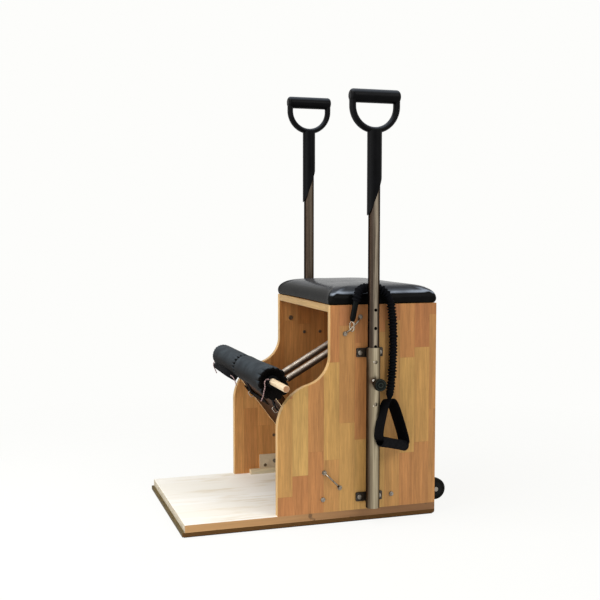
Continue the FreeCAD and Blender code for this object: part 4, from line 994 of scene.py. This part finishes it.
def seatRing(size, wide, deep, corner):
    # the outline from corner to corner, its sides drawn in between
    def onArc(which, angle):
        a, b = ((1, 1), (-1, 1), (-1, -1), (1, -1))[which % 4]
        return a * (wide - corner) + corner * math.cos(angle), b * (deep - corner) + corner * math.sin(angle)

    ring = []
    count = size["around"]
    for turn in range(4):
        ring += [onArc(turn, math.pi / 2 * (turn + step / count)) for step in range(count + 1)]
        close = math.pi / 2 * (turn + 1)
        before, after = ring[-1], onArc(turn + 1, close)
        for step in range(1, 2 * count):
            share = step / (2 * count)
            pull = size["drawn"] * math.sin(math.pi * share) ** size["drawnPower"]
            ring.append((before[0] + (after[0] - before[0]) * share - pull * math.cos(close),
                         before[1] + (after[1] - before[1]) * share - pull * math.sin(close)))
    return ring


def seatCushion(size):
    low, high = (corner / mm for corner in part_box("seat_cushion"))
    middle = (low + high) / 2
    half = ((high.x - low.x) / 2 - size["start"], (high.y - low.y) / 2 - size["start"])
    rings = []
    for inset, height in size["profile"]:
        wide, deep = half[0] - inset, half[1] - inset
        ring = seatRing(size, wide, deep, min(size["corner"] + inset * size["cornerGrow"], deep))
        rings.append([Vector((middle.x + x, middle.y + y, height)) * mm for x, y in ring])
    name = "seat_upholstery"
    piece = ringMesh(name, rings)
    modify(piece, "REMESH", mode="VOXEL", voxel_size=size["voxel"] * mm)
    applyModifiers(piece)
    floor = size["low"] * mm
    swellCloth(piece, size, lambda spot: spot.z < floor + size["held"] * mm)
    # folded corners: the cover is tucked in a shallow crease down each corner
    corners = [(x, y) for x in (low.x, high.x) for y in (low.y, high.y)]
    for spot in piece.data.vertices:
        for x, y in corners:
            inward = Vector((math.copysign(1, middle.x - x), math.copysign(1, middle.y - y))).normalized()
            flat = Vector((spot.co.x / mm - x, spot.co.y / mm - y))
            off = abs(flat.cross(inward))
            depth = flat.dot(inward)
            if depth < size["pleatLong"] and off < size["pleatWide"]:
                end = min(1.0, (size["pleatLong"] - depth) / size["pleatFade"])
                fade = (1 - off / size["pleatWide"]) ** 2 * end
                spot.co.x += inward.x * size["pleat"] * mm * fade
                spot.co.y += inward.y * size["pleat"] * mm * fade
        spot.co.z = max(spot.co.z, floor)
    modify(piece, "SMOOTH", factor=0.5, iterations=5)
    modify(piece, "SUBSURF", levels=1, render_levels=1)
    applyModifiers(piece)
    bpy.ops.object.shade_smooth()
    settle(piece, name, seatVinyl, "frame", "black_vinyl", "seat_cushion")


seatCushion(seatSize)
print("seat upholstered")


# coated nylon cover of the rollers: charcoal, fine plain weave, soft shine on its wrinkles, and painted shade
# below
clothLook = {
    "thread": 0.0011, "threadShare": 0.18, "broad": 35.0, "base": "#2A2F34", "lit": "#3D4449",
    "wearAndPaintedLight": "#0C0A09", "axis": (0.0, -0.126, 0.41), "below": (-0.15, 0.82), "mouth": (0.027, 0.0335),
    "hem": (0.25, 0.6, 1.0, 0.0), "bump": (0.15, 0.0002),
}


def coatedNylon(name, look):
    material, tree, spot = startMaterial(name, IOR=1.5, Roughness=0.55, Specular_IOR_Level=0.02)
    weave = addNode(tree, "TexChecker", {"Vector": spot["Object"], "Scale": 1 / look["thread"],
                                         "Color1": "#FFFFFF", "Color2": "#808080"}).outputs
    broad = noise(tree, spot["Object"], look["broad"], 5.0)
    tone = ramp(tree, broad, (0.3, look["base"]), (0.75, look["lit"]))
    thread = mix(tree, look["threadShare"], tone, weave["Color"], "MULTIPLY")
    # painted shade: darker beneath, at the hem and deep in the drawn-in mouth, where shade falls
    facing = split(tree, spot["Normal"])
    mouth = spread(tree, fromAxis(tree, spot, look["axis"]), *look["mouth"])
    shown = times(tree, spread(tree, facing[2], *look["below"]), mouth, spread(tree, facing[0], *look["hem"]))
    return surface(material, mix(tree, shown, look["wearAndPaintedLight"], thread), weave["Fac"], look["bump"])


rollerNylon = coatedNylon("coated_nylon", clothLook)

rollerSize = {
    "y": -126.0, "z": 410.0, "near": 2.0, "far": 287.0, "around": 240, "middle": 14, "wrinkle": 0.14,
    "wall": 1.2,
    # depth in from the end, radius, pleat share: from the drawn-in mouth out over the rim and along the body
    "mouth": ((15.0, 17.7, 0.0), (14.0, 20.5, 0.3), (10.5, 25.0, 0.6), (5.5, 28.2, 0.85), (1.8, 30.2, 1.0),
              (0.2, 32.2, 1.0), (0.8, 34.0, 1.0), (3.0, 35.2, 0.95), (7.0, 35.5, 0.82), (13.0, 35.5, 0.62),
              (20.0, 35.5, 0.4), (29.0, 35.5, 0.16), (42.0, 35.5, 0.0)),
    # radius from which the body is full, hangs and wrinkles, and where along it the cover is loose
    "fullFrom": (28, 7), "hangFrom": (20, 14), "wrinkleFrom": 30, "looseFrom": (0.3, 0.7),
    "hangLean": 0.35, "hangPower": 1.5, "gather": 0.34, "sink": 0.85,
    # pleat count, pleat depth, roundness and scallop of the hem at each end, and the body's fullness
    "right": {"near": (30, 0.5, 0.9, 0.0), "far": (14, 6.4, 0.5, 7.0), "full": 1.0, "flare": 3.6, "sag": 12.0,
              "seed": 11},
    "left": {"near": (20, 4.5, 0.32, 28.0), "far": (26, 1.2, 0.8, 0.0), "full": -0.7, "flare": 0.0,
             "sag": 0.0, "seed": 23},
}


def rollerCover(size, side, sideName):
    body = sideName + "_pedal"
    look = size[sideName]
    draw = random.Random(look["seed"])
    length = size["far"] - size["near"]
    profile = [(depth, radius, pleat, "near") for depth, radius, pleat in size["mouth"]]
    last, radius, _ = size["mouth"][-1]
    for step in range(1, size["middle"]):
        profile.append((last + (length - 2 * last) * step / size["middle"], radius, 0.0, "near"))
    profile += [(length - depth, radius, pleat, "far") for depth, radius, pleat in reversed(size["mouth"])]
    lobes = {}
    for end in ("near", "far"):
        count = look[end][0]
        edges = [math.tau * (index + draw.uniform(-0.2, 0.2)) / count for index in range(count)]
        lobes[end] = (edges, [draw.uniform(0.75, 1.1) for _ in range(count)])
    creases = [(draw.randint(2, 6), draw.uniform(0, math.tau), draw.uniform(0.01, 0.04)) for _ in range(7)]

    def ripple(end, angle):
        # how far the cloth stands out between two gathers, and how far the hem is drawn back at them
        edges, heights = lobes[end]
        count, depth, sharp, scallop = look[end]
        for index in range(count):
            gap = (edges[(index + 1) % count] - edges[index]) % math.tau
            ahead = (angle - edges[index]) % math.tau
            if ahead < gap:
                share = ahead / gap
                drawn = max(0.0, 1 - min(share, 1 - share) / size["gather"]) * heights[index]
                stand = heights[index] * math.sin(math.pi * share) ** sharp - size["sink"]
                return depth * stand, scallop * drawn
        return 0.0, 0.0

    rings = []
    for reach, radius, pleat, end in profile:
        full = look["full"] * eased(radius, *size["fullFrom"])
        loose = eased(reach / length, *size["looseFrom"]) ** 2 * eased(radius, *size["hangFrom"])
        ring = []
        for turn in range(size["around"]):
            angle = math.tau * turn / size["around"]
            crease = sum(math.sin(count * angle + start + reach * pace) for count, start, pace in creases)
            hang = max(0.0, -math.sin(angle - size["hangLean"])) ** size["hangPower"]
            stand, drawn = ripple(end, angle)
            wide = radius + full + (look["flare"] + look["sag"] * hang) * loose + pleat * stand
            wide += size["wrinkle"] * crease * (radius > size["wrinkleFrom"])
            back = drawn * pleat * (1 if end == "near" else -1)
            ring.append(Vector((side * (size["near"] + reach + back), size["y"] + wide * math.cos(angle),
                                size["z"] + wide * math.sin(angle))) * mm)
        rings.append(ring)
    name = sideName + "_roller_cover"
    piece = ringMesh(name, rings, capped=False)
    modify(piece, "SOLIDIFY", thickness=size["wall"] * mm, offset=-1)
    modify(piece, "SUBSURF", levels=1, render_levels=1)
    applyModifiers(piece)
    bpy.ops.object.shade_smooth()
    settle(piece, name, rollerNylon, body, "roller_cloth", body + "_roller")


for sideName, side in handed:
    rollerCover(rollerSize, side, sideName)
print("rollers covered")


# pedal straps: webbing down the front of each board, with a wire buckle,
# and a slack band under the left roller
strapSize = {
    "x": 130.0, "pivot": (128.48, 70.0), "tilt": 36.816, "lever": 424.7, "face": 10.0, "drop": 36.3,
    "length": 98.0, "width": 25.0, "thickness": 2.0, "lift": 7.0, "liftReach": 30.0, "steps": 40,
    "buckle": (19.0, 12.0), "buckleRound": 0.3, "wire": 2.4,
    "buckleUp": {"right": 310.0, "left": 312.0}, "buckleOut": {"right": 10.5, "left": 10.0},
    "band": ((-284, -150, 390), (-266, -158, 387), (-205, -160, 385), (-135, -160, 384), (-80, -157, 380),
             (-40, -142, 372)),
    "bandWidth": 20.0, "bandTurn": (0.8, 0.6),
    # x, out from the board's face, along the lever: a strap lying loose across the left board
    "cross": ((-207, -9, 312), (-209.5, -3, 312), (-208, 3.5, 312), (-196, 4.5, 313), (-165, 6, 312),
              (-130, 7, 311), (-95, 6, 309), (-60, 5, 306), (-30, 3, 302), (-12, 1.6, 298)),
    "crossWidth": 24.0,
}


def onLever(size, x, out, up):
    # a point on the tilted lever: out from its middle plane, up from the pivot
    tilt = math.radians(size["tilt"])
    y = size["pivot"][0] - out * math.cos(tilt) - up * math.sin(tilt)
    z = size["pivot"][1] - out * math.sin(tilt) + up * math.cos(tilt)
    return Vector((x, y, z)) * mm


def pedalStrap(size, side, sideName):
    body = sideName + "_pedal"
    top = size["lever"] - size["drop"]
    line = []
    for step in range(size["steps"] + 1):
        up = top - size["length"] * step / size["steps"]
        near = max(0.0, 1 - abs(up - size["buckleUp"][sideName]) / size["liftReach"])
        lift = size["lift"] * near * near * (3 - 2 * near)  # stands off the board where the buckle holds it
        line.append(onLever(size, side * size["x"], size["face"] + size["thickness"] / 2 + lift, up))
    webbingBand(size, sideName + "_strap_webbing", body, line, Vector((1, 0, 0)), size["width"] / 2 * mm,
                body + "_strap")


def wireBuckle(size, side, sideName):
    # the rim of a plane, given a round wire section
    long, wide = size["buckle"]
    bpy.ops.object.select_all(action="DESELECT")
    bpy.ops.mesh.primitive_plane_add(size=1, location=(0, 0, 0))
    bpy.context.object.scale = (wide * mm, long * mm, 1)
    piece = applyPlace()
    bpy.ops.object.mode_set(mode="EDIT")
    bpy.ops.mesh.select_all(action="SELECT")
    bpy.ops.mesh.bevel(offset=wide * size["buckleRound"] * mm, segments=3, affect="VERTICES")
    bpy.ops.mesh.select_all(action="SELECT")
    bpy.ops.mesh.delete(type="ONLY_FACE")
    bpy.ops.object.mode_set(mode="OBJECT")
    modify(piece, "SKIN", use_smooth_shade=True)
    for spot in piece.data.skin_vertices[0].data:
        spot.radius = (size["wire"] / 2 * mm, size["wire"] / 2 * mm)
    modify(piece, "SUBSURF", levels=2, render_levels=2)
    applyModifiers(piece)
    bpy.ops.object.shade_smooth()
    stand = Matrix.Rotation(math.radians(90 + size["tilt"]), 3, "X") @ Matrix.Rotation(math.pi / 2, 3, "Y")
    piece.rotation_euler = stand.to_euler()
    out = size["face"] + size["buckleOut"][sideName]
    piece.location = onLever(size, side * size["x"], out, size["buckleUp"][sideName])
    settle(piece, sideName + "_strap_buckle", buckleSteel, sideName + "_pedal", "plain_steel")


def slackBand(size):
    line = routeLine(size["band"], 8)
    flat, steep = size["bandTurn"]
    wides = [(sideways * flat - up * steep).normalized()
             for _, _, sideways, up in lineFrames(line, (0, 0, 1))]
    webbingBand(size, "left_roller_band", "left_pedal", line, wides, size["bandWidth"] / 2 * mm)


def crossStrap(size):
    line = routeLine([onLever(size, x, size["face"] + out, up) / mm for x, out, up in size["cross"]], 8)
    along = (onLever(size, 0, 0, 1) - onLever(size, 0, 0, 0)).normalized()
    webbingBand(size, "left_cross_strap", "left_pedal", line, along, size["crossWidth"] / 2 * mm)


for sideName, side in handed:
    pedalStrap(strapSize, side, sideName)
    wireBuckle(strapSize, side, sideName)
slackBand(strapSize)
crossStrap(strapSize)
print("pedal straps made")


def addDisc(start, thick, y, z, radius, count, way):
    # a disc along X whose inner face lies at start
    bpy.ops.object.select_all(action="DESELECT")
    centre = ((start + way * thick / 2) * mm, y * mm, z * mm)
    bpy.ops.mesh.primitive_cylinder_add(vertices=count, radius=radius * mm, depth=thick * mm, location=centre,
                                        rotation=(0, way * math.pi / 2, 0))
    return applyPlace()


# plunger knob: turned rim with flutes, ring grooves in the face
knobSize = {
    "y": 162.0, "z": 394.0, "neckStart": 316.3, "start": 320.3, "thick": 15.0, "radius": 17.0, "neck": 11.0,
    "flutes": 30, "fluteDepth": 0.7, "fluteStart": 0.3, "rimStart": 0.1, "rimRound": 2.2,
    "grooves": ((14.0, 1.4), (12.6, -1.4), (6.4, 0.8), (5.4, -0.8)), "grooveWall": 0.35,  # radius, depth
}


def plungerKnob(size, side, sideName):
    radius = size["radius"]
    inner = side * size["start"]
    piece = addDisc(inner, size["thick"], size["y"], size["z"], radius, size["flutes"] * 4, side)
    outer = side * (size["start"] + size["thick"]) * mm

    def cap(x):
        return lambda face: abs(face.calc_center_median().x - x) < 1e-5

    selectParts(piece, "faces", cap(outer))
    reach = radius
    for groove, step in size["grooves"]:
        bpy.ops.mesh.inset(thickness=(reach - groove) * mm)
        bpy.ops.mesh.inset(thickness=size["grooveWall"] * mm)
        bpy.ops.transform.translate(value=(-side * step * mm, 0, 0))
        reach = groove - size["grooveWall"]
    selectParts(piece, "faces", cap(inner * mm))
    bpy.ops.mesh.inset(thickness=(radius - size["neck"]) * mm)
    bpy.ops.mesh.extrude_region_move(TRANSFORM_OT_translate={
        "value": (-side * (size["start"] - size["neckStart"]) * mm, 0, 0)})
    middle = Vector((0, size["y"] * mm, size["z"] * mm))

    def onRim(spot):
        return (Vector((0, spot.co.y, spot.co.z)) - middle).length > (radius - size["rimStart"]) * mm

    selectParts(piece, "edges", lambda edge: all(onRim(spot) for spot in edge.verts)
                and abs(edge.verts[0].co.x - edge.verts[1].co.x) < 1e-6)
    bpy.ops.mesh.bevel(offset=size["rimRound"] * mm, segments=4)
    bpy.ops.object.mode_set(mode="OBJECT")
    for spot in piece.data.vertices:  # flutes round the rim
        flat = Vector((0, spot.co.y, spot.co.z)) - middle
        if flat.length > (radius - size["fluteStart"]) * mm:
            angle = math.atan2(flat.z, flat.y)
            cut = size["fluteDepth"] * mm * (0.5 - 0.5 * math.cos(size["flutes"] * angle))
            spot.co -= flat.normalized() * cut
    aloneActive(piece)
    bpy.ops.object.shade_smooth_by_angle(angle=math.radians(35))
    settle(piece, sideName + "_knob", knobPlastic, sideName + "_plunger", "grip_plastic",
           sideName + "_plunger_knob")


for sideName, side in handed:
    plungerKnob(knobSize, side, sideName)
print("knobs turned")


# small fixings: bolt ends on the inner face of the left panel, and dome buttons
# in the holes of the right sleeve, coloured near white as a painted glint
trimSize = {
    # x, y, z, radius, height
    "bolts": ((-230, 84.3, 530, 7.5, 1.2), (-230, 129.6, 483, 5.0, 2.0), (-230, 183.5, 482.6, 5.0, 2.0),
              (-230, 26.9, 152.5, 5.0, 2.0), (-224, -4.1, 58, 5.0, 2.0)),
    "buttons": ((297.3, 155.8, 402, 3.2, 2.2), (296.4, 156.8, 331.5, 2.1, 1.8),
                (296.4, 156.8, 453, 2.1, 1.8)),
    "around": 20, "rim": 0.45, "socket": 0.25, "sunk": 0.4,
}


def domeFixing(size, x, y, z, radius, height):
    # a disc with its rim rounded and a socket sunk in its face
    piece = addDisc(x, height, y, z, radius, size["around"], 1)
    face = (x + height) * mm
    selectParts(piece, "edges", lambda edge: all(abs(spot.co.x - face) < 1e-6 for spot in edge.verts))
    bpy.ops.mesh.bevel(offset=min(radius, height) * size["rim"] * mm, segments=3)
    selectParts(piece, "faces", lambda part: abs(part.calc_center_median().x - face) < 1e-6)
    bpy.ops.mesh.inset(thickness=radius * size["socket"] * mm)
    bpy.ops.mesh.extrude_region_move(TRANSFORM_OT_translate={"value": (-height * size["sunk"] * mm, 0, 0)})
    bpy.ops.object.mode_set(mode="OBJECT")
    bpy.ops.object.shade_smooth_by_angle(angle=math.radians(40))
    return piece


for trimName, metal, rows in (("left_panel_bolt_ends", boltSteel, trimSize["bolts"]),
                              ("right_sleeve_buttons", buttonSteel, trimSize["buttons"])):
    fixings = [domeFixing(trimSize, *row) for row in rows]
    aloneActive(fixings[0])
    for fixing in fixings:
        fixing.select_set(True)
    bpy.ops.object.join()
    settle(fixings[0], trimName, metal, "frame", "plain_steel")
print("fixings added")


# studio: pale floor that keeps a faint shadow, white surround, soft lamps
studio = {
    "surround": "#FDFDFB", "ambient": 0.46, "shadowShare": 0.1, "fade": (0.9, 2.0), "floor": 40,
    "under": -0.0008,
    "lamps": (("key", (2.5, 1.5, 2.5), 1.8, 40.0), ("front", (1.9, -2.3, 1.4), 1.8, 12.0),
              ("fill", (0.25, -1.8, 0.9), 1.2, 12.0), ("top", (0.3, -1.3, 2.6), 2.0, 46.0)),
    "aim": (0.0, 0.0, 0.45),
}


def seenShare(tree):
    # rays from the camera, and what they meet in gloss or through glass
    seen = addNode(tree, "LightPath").outputs
    either = calc(tree, "MAXIMUM", seen["Is Camera Ray"], seen["Is Glossy Ray"])
    return calc(tree, "MAXIMUM", either, seen["Is Transmission Ray"])


def mixShader(tree, share, first, second):
    return addNode(tree, "MixShader", {0: share, 1: first, 2: second}).outputs[0]


def buildStudio(look):
    bpy.ops.object.select_all(action="DESELECT")
    bpy.ops.mesh.primitive_plane_add(size=look["floor"], location=(0, 0, look["under"]))
    floor = bpy.context.object
    floor.name = "floor"
    material, tree, spot = startMaterial("studio_floor")
    tree.nodes.remove(tree.nodes["Principled BSDF"])
    shadow = addNode(tree, "BsdfDiffuse", {"Color": look["surround"]}).outputs[0]
    white = addNode(tree, "Emission", {"Color": look["surround"], "Strength": 1.0}).outputs[0]
    shaded = mixShader(tree, times(tree, seenShare(tree), 1 - look["shadowShare"]), shadow, white)
    # farther off the floor melts into the surround, so that no horizon shows
    faded = spread(tree, vectorCalc(tree, "LENGTH", spot["Object"]), *look["fade"])
    melted = mixShader(tree, faded, shaded, addNode(tree, "BsdfTransparent").outputs[0])
    plug(tree, tree.nodes["Material Output"], {"Surface": melted})
    floor.data.materials.append(material)
    world = bpy.data.worlds.new("studio")
    bpy.context.scene.world = world
    world.use_nodes = True
    tree = world.node_tree
    ground = tree.nodes["Background"]
    plug(tree, ground, {"Color": look["surround"], "Strength": look["ambient"]})
    white = addNode(tree, "Background", {"Color": look["surround"], "Strength": 1.0}).outputs[0]
    shown = mixShader(tree, seenShare(tree), ground.outputs[0], white)
    plug(tree, tree.nodes["World Output"], {"Surface": shown})
    for name, place, size, power in look["lamps"]:
        bpy.ops.object.light_add(type="AREA", location=place)
        lamp = bpy.context.object
        lamp.name = name
        lamp.data.size = size
        lamp.data.energy = power
        lamp.rotation_euler = (Vector(look["aim"]) - Vector(place)).to_track_quat("-Z", "Y").to_euler()
    bpy.context.scene.view_settings.view_transform = "Standard"


buildStudio(studio)
print("studio lit")
